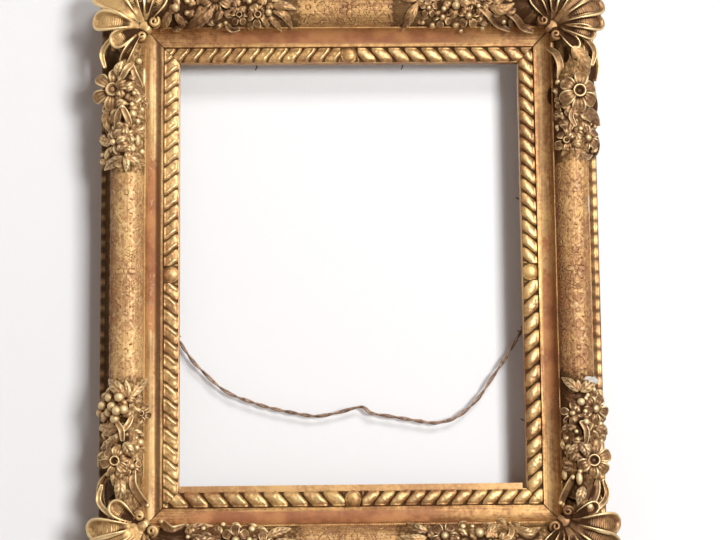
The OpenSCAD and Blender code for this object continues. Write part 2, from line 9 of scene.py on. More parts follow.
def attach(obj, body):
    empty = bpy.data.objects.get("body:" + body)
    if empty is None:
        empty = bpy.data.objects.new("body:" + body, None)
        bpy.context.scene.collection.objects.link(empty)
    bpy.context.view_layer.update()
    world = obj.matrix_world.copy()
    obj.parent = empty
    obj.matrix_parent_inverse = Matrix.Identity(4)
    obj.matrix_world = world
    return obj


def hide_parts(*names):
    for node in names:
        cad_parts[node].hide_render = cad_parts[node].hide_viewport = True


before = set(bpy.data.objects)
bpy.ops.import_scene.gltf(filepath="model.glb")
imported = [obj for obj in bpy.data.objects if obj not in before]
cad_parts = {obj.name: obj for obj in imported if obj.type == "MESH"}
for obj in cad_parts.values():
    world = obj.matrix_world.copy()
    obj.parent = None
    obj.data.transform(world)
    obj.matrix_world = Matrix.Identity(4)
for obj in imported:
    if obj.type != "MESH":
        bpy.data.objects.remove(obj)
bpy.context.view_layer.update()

# Everything below is worked out in millimetres and turned into metres when a mesh is made.
MM = 0.001
SIGHT_W, SIGHT_H = 316.0, 396.0
RAIL_W = 73.0
LIP_W, FILLET_S, COVE_S, MID_S = 4.5, 14.5, 17.0, 29.0
PANEL_S, OUTER_S, GORGE_S, EDGE_S = 30.5, 61.0, 62.0, 69.0
LIP_H, SEAT_H, INNER_H, MID_H, CREST_H, EDGE_H = 20.0, 18.0, 23.0, 35.0, 49.0, 15.0
REBATE_D, REBATE_W, STEP_H = 12.0, 7.0, 1.0
PANEL_MID, PANEL_HALF = (PANEL_S + OUTER_S) / 2, (OUTER_S - PANEL_S) / 2
PANEL_RISE = CREST_H - MID_H
PANEL_R = (PANEL_HALF ** 2 + PANEL_RISE ** 2) / (2 * PANEL_RISE)
PANEL_HALF_ARC = PANEL_R * math.asin(PANEL_HALF / PANEL_R)
BOTTOM, LEFT, TOP, RIGHT = 0, 1, 2, 3
SIDE_NAMES = ("bottom", "left", "top", "right")
HUB = (30.0, 29.0)  # of a shell, from its corner of the sight edge


def half_along(side):
    return SIGHT_W / 2 if side % 2 == 0 else SIGHT_H / 2


def to_world(side, u, s, h):
    """World millimetres of a point given along (u), across (s) and above (h) the back of a rail."""
    u, s, h = np.broadcast_arrays(np.asarray(u, float), s, h)
    if side == BOTTOM:
        xyz = (u, -h, -SIGHT_H / 2 - s)
    elif side == LEFT:
        xyz = (-SIGHT_W / 2 - s, -h, -u)
    elif side == TOP:
        xyz = (-u, -h, SIGHT_H / 2 + s)
    else:
        xyz = (SIGHT_W / 2 + s, -h, u)
    return np.stack(xyz, axis=-1)


# Camera, at the photograph's angle.
def place_camera():
    azimuth, elevation, roll = (math.radians(a) for a in (-1.5, -6.567, -0.611))
    distance, target = 1.5, Vector((0.008687, 0.0, 0.005320))
    forward = Vector((-math.sin(azimuth) * math.cos(elevation), math.cos(azimuth) * math.cos(elevation),
                      -math.sin(elevation)))
    right = Vector((math.cos(azimuth), math.sin(azimuth), 0.0))
    up = right.cross(forward)
    tilted_right = right * math.cos(roll) + up * math.sin(roll)
    tilted_up = up * math.cos(roll) - right * math.sin(roll)
    data = bpy.data.cameras.new("camera")
    data.sensor_width = 36.0
    data.lens = 80.30
    data.clip_end = 20.0
    camera = bpy.data.objects.new("camera", data)
    place = Matrix((tilted_right, tilted_up, -forward)).transposed().to_4x4()
    place.translation = target - forward * distance
    camera.matrix_world = place
    bpy.context.collection.objects.link(camera)
    bpy.context.scene.camera = camera


place_camera()


# Numbers and curves.
def unit(v):
    return v / np.maximum(np.linalg.norm(v, axis=-1, keepdims=True), 1e-9)


def smoothstep(a, b, x):
    t = np.clip((np.asarray(x, float) - a) / (b - a), 0, 1)
    return t * t * (3 - 2 * t)


def between(at, x, y):
    """The value at(i, j) of a grid between its points: x and y are each a point and the share beyond it."""
    (i, fx), (j, fy) = x, y
    return ((at(i, j) * (1 - fx) + at(i + 1, j) * fx) * (1 - fy)
            + (at(i, j + 1) * (1 - fx) + at(i + 1, j + 1) * fx) * fy)


def noise2(x, y, cell, seed):
    """Smooth noise between -1 and 1 on a lattice of that cell."""
    x, y = np.broadcast_arrays(np.asarray(x, float) / cell, np.asarray(y, float) / cell)
    table = np.random.default_rng(seed).uniform(-1, 1, (64, 64))
    i, j = np.floor(x).astype(int), np.floor(y).astype(int)
    shares = smoothstep(0, 1, x - i), smoothstep(0, 1, y - j)
    return between(lambda a, b: table[a % 64, b % 64], (i, shares[0]), (j, shares[1]))


def curve(points, n, ends=False):
    """n points on a smooth curve through the given ones, closer together at both ends if asked."""
    p = np.asarray(points, float)
    d = np.r_[0, np.cumsum(np.linalg.norm(np.diff(p, axis=0), axis=1))]
    m = np.gradient(p, d, axis=0) if len(p) > 2 else np.repeat((p[1:] - p[:1]) / d[-1], 2, axis=0)
    t = np.linspace(0, 1, n)
    t = d[-1] * ((1 - np.cos(np.pi * t)) / 2 if ends else t)
    i = np.clip(np.searchsorted(d, t, side="right") - 1, 0, len(p) - 2)
    h = (d[i + 1] - d[i])[:, None]
    x = (t - d[i])[:, None] / h
    return ((2 * x ** 3 - 3 * x ** 2 + 1) * p[i] + (x ** 3 - 2 * x ** 2 + x) * h * m[i]
            + (3 * x ** 2 - 2 * x ** 3) * p[i + 1] + (x ** 3 - x ** 2) * h * m[i + 1])


# Meshes.
def set_values(mesh, values):
    """Gives each point the named values that the materials read."""
    for key, value in values.items():
        layer = mesh.attributes.new(key, "FLOAT", "POINT")
        layer.data.foreach_set("value", np.broadcast_to(value, len(mesh.vertices)).astype(np.float32))


def read_rows(items, key, width, kind=np.float32):
    """One value of all of a mesh's items, a row each."""
    flat = np.empty(len(items) * width, kind)
    items.foreach_get(key, flat)
    return flat.reshape(-1, width)


def make_mesh(name, points, quads, ngons=()):
    """A mesh from points in millimetres, quads as an (n, 4) array, and a few larger faces."""
    mesh = bpy.data.meshes.new(name)
    quads = np.asarray(quads, np.int32).reshape(-1, 4)
    corners = np.concatenate([quads.ravel()] + [np.asarray(g, np.int32) for g in ngons])
    sizes = np.concatenate([np.full(len(quads), 4), np.array([len(g) for g in ngons], int)]).astype(np.int32)
    mesh.vertices.add(len(points))
    mesh.vertices.foreach_set("co", (np.asarray(points) * MM).astype(np.float32).ravel())
    mesh.loops.add(len(corners))
    mesh.loops.foreach_set("vertex_index", corners)
    mesh.polygons.add(len(sizes))
    mesh.polygons.foreach_set("loop_start", np.r_[0, np.cumsum(sizes)[:-1]].astype(np.int32))
    mesh.polygons.foreach_set("use_smooth", np.ones(len(sizes), bool))
    mesh.update(calc_edges=True)
    return mesh


def make_piece(mesh, materials, body, slot, nodes):
    for material in materials:
        mesh.materials.append(material)
    piece = bpy.data.objects.new(mesh.name, mesh)
    bpy.context.collection.objects.link(piece)
    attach(piece, body)
    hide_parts(*nodes)
    return piece


def grid_quads(rows, columns, close_columns=False, start=0):
    """Quads of a grid of points stored row by row."""
    across = columns if close_columns else columns - 1
    i, j = np.meshgrid(np.arange(rows - 1), np.arange(across), indexing="ij")
    k = (j + 1) % columns
    return start + np.stack([i * columns + j, i * columns + k, (i + 1) * columns + k, (i + 1) * columns + j],
                            axis=-1).reshape(-1, 4)


class Solids:
    """Closed solids gathered into one mesh."""

    def __init__(self):
        self.points, self.quads, self.ngons, self.count = [], [], [], 0

    def rings(self, rings):
        """One closed solid from an (n, m, 3) stack of closed rings."""
        n, m = rings.shape[:2]
        self.points.append(rings.reshape(-1, 3))
        self.quads.append(grid_quads(n, m, True, self.count))
        first = np.arange(m) + self.count
        self.ngons += [first[::-1], first + (n - 1) * m]
        self.count += n * m

    def mesh(self, name, place=None):
        """One mesh of all the solids. place, if given, turns their points into world millimetres."""
        points = np.concatenate(self.points)
        return make_mesh(name, place(points) if place else points, np.concatenate(self.quads), self.ngons)


def ring_mesh(name, points, values, sharp):
    """A closed solid from a stack of closed rings, its edges sharp from that many degrees."""
    solid = Solids()
    solid.rings(points)
    mesh = solid.mesh(name)
    set_values(mesh, {key: np.broadcast_to(value, points.shape[:2]).ravel() for key, value in values.items()})
    mesh.set_sharp_from_angle(angle=math.radians(sharp))
    return mesh


def tube_rings(path, radius, sides, hint=(0.0, 0.0, 1.0)):
    """Rings of a round tube along a path, its frame carried along without twist."""
    path = np.asarray(path, float)
    way = unit(np.gradient(path, axis=0))
    across = unit(np.cross(way[0], hint))
    frames = []
    for w in way:
        across = unit(across - w * (across @ w))
        frames.append((across, np.cross(w, across)))
    a = np.array([f[0] for f in frames])[:, None]
    b = np.array([f[1] for f in frames])[:, None]
    turn = np.linspace(0, 2 * np.pi, sides, endpoint=False)[None, :, None]
    radius = np.broadcast_to(radius, len(path))[:, None, None]
    return path[:, None] + radius * (a * np.cos(turn) + b * np.sin(turn))


# Materials.
class Value:
    """An output in a node tree that adds, subtracts and multiplies as a number does."""

    def __init__(self, nodes, socket):
        self.nodes, self.socket = nodes, socket

    def __add__(self, other):
        return self.nodes.math("ADD", self, other)

    def __sub__(self, other):
        return self.nodes.math("SUBTRACT", self, other)

    def __rsub__(self, other):
        return self.nodes.math("SUBTRACT", other, self)

    def __mul__(self, other):
        return self.nodes.math("MULTIPLY", self, other)

    __radd__, __rmul__ = __add__, __mul__


class Nodes:
    """Short calls for building the node tree of a material or a world."""

    def __init__(self, owner, kind="Material"):
        owner.use_nodes = True
        self.owner, self.tree = owner, owner.node_tree
        self.tree.nodes.clear()
        self.out = self.tree.nodes.new("ShaderNodeOutput" + kind)

    def add(self, kind, inputs=None, **settings):
        node = self.tree.nodes.new(kind)
        for key, value in settings.items():
            setattr(node, key, value)
        for key, value in (inputs or {}).items():
            self.put(node.inputs[key], value)
        return node

    def put(self, socket, value):
        if isinstance(value, Value):
            value = value.socket
        if isinstance(value, bpy.types.NodeSocket):
            self.tree.links.new(value, socket)
        elif socket.type == "RGBA":
            socket.default_value = (*value, 1.0)
        else:
            socket.default_value = value

    def math(self, operation, a, b, clamp=False):
        node = self.add("ShaderNodeMath", {0: a, 1: b}, operation=operation, use_clamp=clamp)
        return Value(self, node.outputs[0])

    def mix(self, factor, a, b):
        return Value(self, self.add("ShaderNodeMix", {0: factor, 6: a, 7: b}, data_type="RGBA").outputs[2])

    def ramp(self, value, a, b):
        """0 at a to 1 at b, smoothly."""
        node = self.add("ShaderNodeMapRange", {0: value, 1: a, 2: b}, interpolation_type="SMOOTHSTEP")
        return Value(self, node.outputs[0])

    def noise(self, place, scale, detail=3.0, roughness=0.55):
        inputs = {"Vector": place, "Scale": scale, "Detail": detail, "Roughness": roughness}
        return Value(self, self.add("ShaderNodeTexNoise", inputs).outputs["Fac"])

    def value(self, name):
        return Value(self, self.add("ShaderNodeAttribute", attribute_name=name).outputs["Fac"])

    def vector(self, x, y, z=0.0):
        return self.add("ShaderNodeCombineXYZ", {0: x, 1: y, 2: z}).outputs[0]

    def place(self, scale=(1.0, 1.0, 1.0)):
        source = self.add("ShaderNodeTexCoord").outputs["Object"]
        return self.add("ShaderNodeMapping", {"Vector": source, "Scale": scale}).outputs[0]

    def bump(self, strength, distance, height, under=None):
        inputs = {"Strength": strength, "Distance": distance, "Height": height}
        return self.add("ShaderNodeBump", inputs if under is None else {**inputs, "Normal": under}).outputs[0]

    def surface(self, **inputs):
        """Ends the tree in a principled shader, whose sockets are named with _ for a space."""
        named = {key.replace("_", " "): value for key, value in inputs.items()}
        return self.finish(self.add("ShaderNodeBsdfPrincipled", named).outputs[0])

    def finish(self, shader):
        self.tree.links.new(shader, self.out.inputs["Surface"])
        return self.owner


def material_nodes(name):
    return Nodes(bpy.data.materials.new(name))


# The bright gold below is a painted highlight for raised places, and the umber is painted shade, with dirt,
# for hollows.
HIGHLIGHT_GOLD = (0.95, 0.73, 0.38)
BOLE = (0.26, 0.080, 0.026)
BOLE_PALE = (0.44, 0.190, 0.066)
SHADE_AND_DIRT_UMBER = (0.040, 0.017, 0.007)
GESSO = (0.52, 0.48, 0.43)


def gilding(name, gold, brown, shade_and_dirt, wear=0.0, roughness=0.36, carved=True):
    """Water gilding over red bole: leaf rubbed on the high places, painted shade with dirt in the low ones
    and a painted highlight on the high ones.

    Reads values per point: how light the leaf is painted, 0 for painted shade with dirt in a hollow and 1 for
    a painted highlight on an edge; bole, the share of leaf rubbed through; matt, where the leaf isn't
    burnished;
    gesso, where that lies bare; along and across, for the rails' streaks. A plain strip, not carved, needs
    none of them."""
    n = material_nodes(name + "_gilding")
    place = n.place()
    broad, cloud = n.noise(place, 9.0, 3.0), n.noise(place, 42.0, 4.0)
    fine = n.noise(place, 260.0, 4.0, 0.65)
    painted_light, bole, matt = (n.value(k) for k in ("painted_light", "bole", "matt")) if carved else (0.5, 0.1, 0.3)
    tone = broad * 0.55 + cloud * 0.45 + (fine - 0.5) * 0.55
    if carved:
        streaks = n.noise(n.vector(n.value("along") * 0.025, n.value("across")), 0.8, 4.0)
        tone = tone + (streaks - 0.5) * 0.45
    leaf = n.mix(n.ramp(tone, 0.36, 0.64), brown, gold)
    # Painted highlight: cream gold on the raised places and edges.
    leaf = n.mix(n.ramp(painted_light, 0.55, 0.9) * 0.65, leaf, HIGHLIGHT_GOLD)
    rubbed = n.ramp(bole + (fine - 0.5) * 1.3 + (cloud - 0.5) * 1.1 + wear, 0.35, 0.75)
    clay = n.mix(n.ramp(cloud, 0.35, 0.65), BOLE, BOLE_PALE)
    # Painted shade, with dirt, in the hollows: darker brown there, with less metal and less specular.
    low = n.ramp(painted_light, 0.50, 0.13) + (cloud - 0.5) * 0.5
    hollow = n.math("MULTIPLY", n.ramp(low, 0.05, 0.95), shade_and_dirt, clamp=True)
    bare = n.ramp(n.value("gesso") + (fine - 0.5) * 0.5, 0.4, 0.6)
    colour = n.mix(bare, n.mix(hollow, n.mix(rubbed, leaf, clay), SHADE_AND_DIRT_UMBER), GESSO)
    metal = (1.0 - rubbed) * (1.0 - hollow) * (1.0 - bare) * (0.62 - matt * 0.30)
    rough = n.math("ADD", cloud * 0.16 + roughness + matt * 0.14, (rubbed + hollow) * 0.22, clamp=True)
    bump = n.bump(0.5, 0.0012, cloud, under=n.bump(0.35, 0.0004, fine))
    return n.surface(Base_Color=colour, Metallic=metal, Roughness=rough, Normal=bump,
                     Specular_IOR_Level=(1.0 - hollow) * 0.5)


def old_wood(name, dark, light, whole=False):
    """Old bare wood. Its grain follows the values along and across, or in a whole block the X axis."""
    n = material_nodes(name)
    if whole:
        place = n.place((120.0, 1000.0, 1000.0))
    else:
        across = n.value("across")
        place = n.vector(n.value("along") * 0.12, across, across * 0.2)
    grain, figure = n.noise(place, 0.9, 5.0, 0.6), n.noise(place, 0.13, 3.0)
    stain = n.noise(n.place(), 14.0, 3.0)
    colour = n.mix(n.ramp(grain * 0.5 + figure * 0.5, 0.35, 0.65), dark, light)
    colour = n.mix(n.ramp(stain, 0.5, 0.75) * 0.6, colour, (0.05, 0.03, 0.02))
    return n.surface(Base_Color=colour, Roughness=0.78, Normal=n.bump(0.5, 0.0006, grain))


def metal_finish(name, dark, light, metallic, roughness, scale):
    n = material_nodes(name)
    spots, fine = n.noise(n.place(), scale, 4.0), n.noise(n.place(), scale * 6, 3.0)
    return n.surface(Base_Color=n.mix(n.ramp(spots, 0.38, 0.62), dark, light), Metallic=metallic,
                     Roughness=spots * 0.25 + roughness, Normal=n.bump(0.4, 0.0003, fine))


RAIL_GILT = gilding("rail", (0.52, 0.295, 0.105), (0.245, 0.103, 0.036), shade_and_dirt=0.8)
# The paler copies of the rail's and the twist's gilding are used on the left rail, painted lighter for the
# stronger light on it.
LIT_RAIL_GILT = gilding("lit_rail", (0.57, 0.345, 0.135), (0.31, 0.145, 0.055), shade_and_dirt=0.8)
TWIST_GILT = gilding("twist", (0.60, 0.37, 0.14), (0.29, 0.13, 0.046), shade_and_dirt=0.94, wear=0.02)
LIT_TWIST_GILT = gilding("lit_twist", (0.74, 0.49, 0.21), (0.38, 0.20, 0.08), shade_and_dirt=0.90, wear=0.02)
SHELL_GILT = gilding("shell", (0.58, 0.36, 0.14), (0.28, 0.14, 0.052), shade_and_dirt=0.97, wear=-0.02)
SHELL_BROWN = gilding("browned_shell", (0.32, 0.168, 0.062), (0.13, 0.054, 0.020), shade_and_dirt=0.97, wear=-0.02)
SPRAY_GILT = gilding("spray", (0.36, 0.198, 0.078), (0.145, 0.065, 0.027), shade_and_dirt=0.97, roughness=0.42)
SLIP_GILT = gilding("slip", (0.56, 0.33, 0.13), (0.36, 0.18, 0.07), shade_and_dirt=0.6, wear=0.05, carved=False)
BACK_WOOD = old_wood("back_wood", (0.115, 0.065, 0.034), (0.38, 0.25, 0.145))
KEY_WOOD = old_wood("key_wood", (0.12, 0.07, 0.035), (0.36, 0.24, 0.14), whole=True)
IRON = metal_finish("old_iron", (0.03, 0.022, 0.018), (0.11, 0.06, 0.035), metallic=0.6, roughness=0.45,
                    scale=400.0)
WIRE = metal_finish("tarnished_wire", (0.15, 0.082, 0.050), (0.36, 0.23, 0.155), metallic=0.5,
                    roughness=0.40, scale=180.0)


# The hanging wire, on the route of its solid.
EYE_S, EYE_Z, EYE_Y = 15.0, -30.0, 7.5
WIRE_D, STRAND_D, LOOP_R, STRAND_GAP = 3.6, 1.7, 3.2, 0.3
WRAP_TURNS, WRAP_PITCH, EYE_RING_R, EYE_WIRE_R = 4, 4.5, 5.0, 1.1
HALF_SPAN = SIGHT_W / 2 + EYE_S
LOOP_Z = EYE_Z - EYE_RING_R - (LOOP_R - STRAND_D / 2 - EYE_WIRE_R - STRAND_GAP)
WIRE_ROUTE = (
    (-0.861, -0.232), (-0.803, -0.295), (-0.711, -0.382), (-0.636, -0.428), (-0.561, -0.457),
    (-0.439, -0.497), (-0.277, -0.532), (-0.185, -0.544), (-0.075, -0.526), (0.012, -0.503),
    (0.052, -0.497), (0.075, -0.509), (0.110, -0.532), (0.208, -0.549), (0.312, -0.567),
    (0.416, -0.584), (0.468, -0.584), (0.555, -0.561), (0.636, -0.503), (0.699, -0.434),
    (0.763, -0.341), (0.827, -0.249))
AIMS = {-1: unit(np.array([12.0, 0.0, -22.0])), 1: unit(np.array([-14.0, 0.0, -18.0]))}
WIRE_START = LOOP_R + STRAND_D / 2 + STRAND_GAP
WRAP_END = WIRE_START + WRAP_TURNS * WRAP_PITCH + STRAND_D
TWIST_PITCH, WIRE_STEPS = 34.0, 480
BACKWARD = np.array([0.0, 1.0, 0.0])


def loop_centre(sign):
    return np.array([sign * HALF_SPAN, EYE_Y, LOOP_Z])


def on_end(sign, t):
    return loop_centre(sign) + AIMS[sign] * t


def smooth_route(points, steps):
    """Points on the same smooth curve that the solid follows."""
    p = np.asarray(points, float)
    line = []
    for i in range(len(p) - 1):
        p0, p1, p2, p3 = p[max(i - 1, 0)], p[i], p[i + 1], p[min(i + 2, len(p) - 1)]
        for t in np.arange(steps) / steps:
            line.append(0.5 * (2 * p1 + t * (p2 - p0) + t * t * (2 * p0 - 5 * p1 + 4 * p2 - p3)
                               + t ** 3 * (3 * p1 - p0 - 3 * p2 + p3)))
    return np.array(line + [p[-1]])


def make_wire():
    middle = (WIRE_START + WRAP_END) / 2
    after = WRAP_END + STRAND_D / 2
    points = ([on_end(-1, t) for t in (WIRE_START, middle, after)]
              + [np.array([x * HALF_SPAN, EYE_Y, LOOP_Z + z * HALF_SPAN]) for x, z in WIRE_ROUTE]
              + [on_end(1, t) for t in (after, middle, WIRE_START)])
    line = smooth_route(points, steps=16)
    gone = np.r_[0, np.cumsum(np.linalg.norm(np.diff(line, axis=0), axis=1))]
    length = gone[-1]
    places = np.linspace(0, length, WIRE_STEPS)
    even = np.stack([np.interp(places, gone, line[:, k]) for k in range(3)], axis=-1)
    across = unit(np.cross(unit(np.gradient(even, axis=0)), BACKWARD))
    turn = 2 * np.pi * places / TWIST_PITCH + 1.1 * np.sin(np.linspace(0, 19, WIRE_STEPS))
    spread = (WIRE_D - STRAND_D) / 2
    solids = Solids()
    for start in (0.0, np.pi):
        aside = across * np.cos(turn + start)[:, None] + BACKWARD * np.sin(turn + start)[:, None]
        solids.rings(tube_rings(even + spread * aside, STRAND_D / 2, sides=14, hint=BACKWARD))
    wire = make_piece(solids.mesh("twisted_wire"), [WIRE], "wire", "wire", ["hanging_wire"])
    path = [tuple(float(v) * MM for v in p) for p in even[np.linspace(0, WIRE_STEPS - 1, 40).astype(int)]]
    return wire, path, length


def make_wire_end(sign, name):
    steps, opening = 72, math.radians(32)
    c, d = loop_centre(sign), AIMS[sign]
    e = sign * np.array([-d[2], 0.0, d[0]])
    turns = np.linspace(opening, 2 * np.pi - opening, steps)
    loop = c + LOOP_R * (np.outer(np.cos(turns), d) + np.outer(np.sin(turns), e))
    wrap_r = (WIRE_D + STRAND_D) / 2 + STRAND_GAP
    a = np.linspace(0, 2 * np.pi * WRAP_TURNS, steps * WRAP_TURNS)
    wrap = (c + np.outer(WIRE_START + STRAND_D / 2 + WRAP_PITCH * a / (2 * np.pi), d)
            - wrap_r * (np.outer(np.cos(a), e) + np.outer(np.sin(a), BACKWARD)))
    line = curve(np.concatenate([loop, wrap])[::3], 420)
    solids = Solids()
    solids.rings(tube_rings(line, STRAND_D / 2, sides=12, hint=BACKWARD))
    return make_piece(solids.mesh(name + "_strand"), [WIRE], "wire", "wire", [name])


wire, wire_path, wire_length = make_wire()
wire_ends = [make_wire_end(-1, "wire_end_left"), make_wire_end(1, "wire_end_right")]


# Engraved pattern of the panels, whose outlines are cut into the gesso, drawn on a fine grid.
class Engraving:
    CELL = 0.3

    def __init__(self, half_u, half_w):
        self.half_u, self.half_w = half_u, half_w
        self.map = np.zeros((int(2 * half_u / self.CELL) + 2, int(2 * half_w / self.CELL) + 2))

    def dot(self, u, w, r):
        """A dome of radius r, its top cut flat."""
        c = self.CELL
        i0, i1 = (int((u - r + self.half_u) / c), int((u + r + self.half_u) / c) + 2)
        j0, j1 = (int((w - r + self.half_w) / c), int((w + r + self.half_w) / c) + 2)
        i0, j0 = max(i0, 0), max(j0, 0)
        part = self.map[i0:i1, j0:j1]
        if part.size == 0:
            return
        gu = (np.arange(i0, i0 + part.shape[0]) * c - self.half_u - u)[:, None]
        gw = (np.arange(j0, j0 + part.shape[1]) * c - self.half_w - w)[None, :]
        np.maximum(part, np.clip(1.25 - 1.25 * ((gu * gu + gw * gw) / (r * r)) ** 1.5, 0, 1), out=part)

    def dots(self, u, w, r):
        """A dot and its mirror images about both middles."""
        for flip in (-1, 1):
            for turn in (-1, 1):
                self.dot(flip * u, turn * w, r)

    def stroke(self, points, r0, r1=None):
        line = curve(points, max(6, int(1.6 * np.sum(np.linalg.norm(np.diff(points, axis=0), axis=1)))))
        radii = np.linspace(r0, r0 if r1 is None else r1, len(line))
        for (u, w), r in zip(line, radii):
            self.dots(u, w, r)

    def leaf(self, u, w, angle, length, width):
        """A leaf from a stem's end, widest at its middle."""
        for t in np.linspace(0, 1, int(length * 2)):
            r = max(0.45, width / 2 * math.sin(math.pi * min(1, t * 0.92 + 0.06)))
            self.dots(u + t * length * math.cos(angle), w + t * length * math.sin(angle), r)

    def curl(self, u, w, r, start, turns, hand, thick=0.8):
        """A spiral that tightens to a round eye."""
        a = np.linspace(0, 1, int(40 * turns))
        points = [(u + r * (1 - 0.82 * t) * math.cos(start + hand * turns * 2 * math.pi * t),
                   w + r * (1 - 0.82 * t) * math.sin(start + hand * turns * 2 * math.pi * t)) for t in a]
        self.stroke(points, thick, thick * 0.7)
        self.dots(u, w, thick * 1.5)

    def flower(self, u, w, r, petals):
        for k in range(petals):
            a = math.pi / 2 + 2 * math.pi * k / petals
            self.leaf(u + 0.3 * r * math.cos(a), w + 0.3 * r * math.sin(a), a, r * 0.75, r * 0.55)
        self.dots(u, w, r * 0.24)

    def at(self, u, w):
        """Height at any place, between the grid's points."""
        x = np.clip((u + self.half_u) / self.CELL, 0, self.map.shape[0] - 1.001)
        y = np.clip((w + self.half_w) / self.CELL, 0, self.map.shape[1] - 1.001)
        i, j = x.astype(int), y.astype(int)
        return between(lambda a, b: self.map[a, b], (i, x - i), (j, y - j))


def engrave(half_u):
    e = Engraving(half_u, PANEL_HALF_ARC)
    e.flower(0, 0, 10.0, 6)
    for k in range(4):
        e.stroke([(0, 13 + 2.4 * k), (8 + 2 * k, 10 + 2.4 * k), (13 + 2.6 * k, 0)], 0.8)
    period = 34.0
    for u in np.arange(21.0, half_u - 8, period):
        e.flower(u + 17, 0, 9.0, 5)
        e.leaf(u + 10, 4, 2.5, 11, 4.6)
        e.leaf(u + 24, 4, 0.6, 11, 4.6)
        e.leaf(u + 17, 9, 1.2, 9, 3.8)
        arch = ((0, 2), (3, 10), (10, 15), (17, 18), (25, 15), (31, 9), (period, 2))
        e.stroke([(u + du, w) for du, w in arch], 1.15)
        e.curl(u + 4, 16, 4.6, -0.6, 1.15, 1, 1.1)
        e.curl(u + 30, 16, 4.6, 2.6, 1.15, -1, 1.1)
        e.leaf(u, 3, 1.57, 9, 4.0)
        e.stroke([(u, 21), (u + 9, 20), (u + 17, 21.5), (u + 25, 20), (u + period, 21)], 0.8)
    return e


ENGRAVED = {0: engrave(SIGHT_W / 2 + OUTER_S), 1: engrave(SIGHT_H / 2 + OUTER_S)}


# The rails.
def rail_profile():
    """Points round the rail's section as (s, h, part); parts name the surface that follows."""
    rows = []

    def line(a, b, n, part):
        for t in np.arange(n) / n:
            rows.append((a[0] + t * (b[0] - a[0]), a[1] + t * (b[1] - a[1]), part))

    def arc(cs, ch, rs, rh, a0, a1, n, part):
        for t in np.arange(n) / n:
            a = math.radians(a0 + t * (a1 - a0))
            rows.append((cs + rs * math.cos(a), ch + rh * math.sin(a), part))

    soft = 0.5
    line((0, REBATE_D), (0, LIP_H - soft), 3, "sight")
    arc(soft, LIP_H - soft, soft, soft, 180, 90, 2, "lip")
    line((soft, LIP_H), (LIP_W - 0.3, LIP_H), 4, "lip")
    line((LIP_W - 0.3, LIP_H), (LIP_W, SEAT_H), 2, "lip")
    line((LIP_W, SEAT_H), (FILLET_S, SEAT_H), 2, "floor")
    line((FILLET_S, SEAT_H), (FILLET_S, INNER_H - 0.3), 2, "inner")
    line((FILLET_S + 0.3, INNER_H), (COVE_S, INNER_H), 3, "inner")
    arc(COVE_S, MID_H - STEP_H, MID_S - COVE_S, MID_H - INNER_H - STEP_H, -90, 0, 15, "cove")
    line((MID_S, MID_H - STEP_H), (MID_S + 0.25, MID_H), 1, "mid")
    line((MID_S + 0.25, MID_H), (PANEL_S, MID_H), 4, "mid")
    half_a = math.degrees(math.asin(PANEL_HALF / PANEL_R))
    arc(PANEL_MID, CREST_H - PANEL_R, PANEL_R, PANEL_R, 90 + half_a, 90 - half_a, 64, "panel")
    line((OUTER_S, MID_H), (GORGE_S - 0.2, MID_H), 2, "outer")
    arc(EDGE_S, MID_H - STEP_H, GORGE_S - EDGE_S, MID_H - STEP_H - EDGE_H, 0, -90, 10, "gorge")
    line((EDGE_S, EDGE_H), (RAIL_W - 2, EDGE_H), 2, "edge")
    arc(RAIL_W - 2, EDGE_H - 2, 2, 2, 90, 0, 4, "edge")
    line((RAIL_W, EDGE_H - 2), (RAIL_W - 1.5, 3), 4, "side")
    line((RAIL_W - 1.5, 3), (RAIL_W - 3, 0), 2, "back")
    line((RAIL_W - 3, 0), (REBATE_W, 0), 6, "back")
    line((REBATE_W, 0), (REBATE_W, REBATE_D), 2, "back")
    line((REBATE_W, REBATE_D), (0, REBATE_D), 2, "back")
    return np.array([r[:2] for r in rows]), np.array([r[2] for r in rows])


PROFILE, PARTS = rail_profile()
GORGE_PITCH, DOT_PITCH, MITRE_CRACK = 12.0, 2.2, 0.12
ROWS = 720
# From where to where along each rail its frieze is rubbed to the bole and its panel shows between the
# sprays, how much lighter or darker its frieze and panel are painted for the light and shade on that rail,
# and the hollows beside the outer scrolls, each as (u, s, half length, half width).
RUBBED = {BOTTOM: (-150, 50), LEFT: (-113, 42), TOP: (-104, 121), RIGHT: (-115, 25)}
OPEN_PANEL = {BOTTOM: (-46, 36), LEFT: (-88, 94), TOP: (-38, 46), RIGHT: (-92, 98)}
SIDE_LIGHT = {BOTTOM: 0.0, LEFT: 0.03, TOP: -0.07, RIGHT: 0.0}
HOLLOWS = {BOTTOM: ((-152, 60, 11, 6), (150, 62, 11, 6)), TOP: ((154, 60, 11, 6), (-152, 60, 11, 6)),
           LEFT: ((-195, 60, 12, 7), (195, 57, 13, 6)),
           RIGHT: ((193, 65, 13, 4), (199, 38, 8, 6), (-202, 36, 8, 7), (-199, 60, 9, 4))}


def by_part(other, **values):
    """A value for each named part of the section, and other for the rest."""
    for part, value in values.items():
        other = np.where(PARTS[None, :] == part, value, other)
    return other


def within(x, low, high, outside, inside):
    """1 between low and high, fading to 0 over the given distances on both sides of each."""
    return smoothstep(low - outside, low + inside, x) * smoothstep(high + outside, high - inside, x)


def rail_hollows(side, u, s):
    pit = np.zeros(np.shape(u))
    for pu, ps, ru, rs in HOLLOWS[side]:
        pit = np.maximum(pit, smoothstep(1.15, 0.6, ((u - pu) / ru) ** 2 + ((s - ps) / rs) ** 2))
    return by_part(0, panel=pit, outer=pit, gorge=pit)


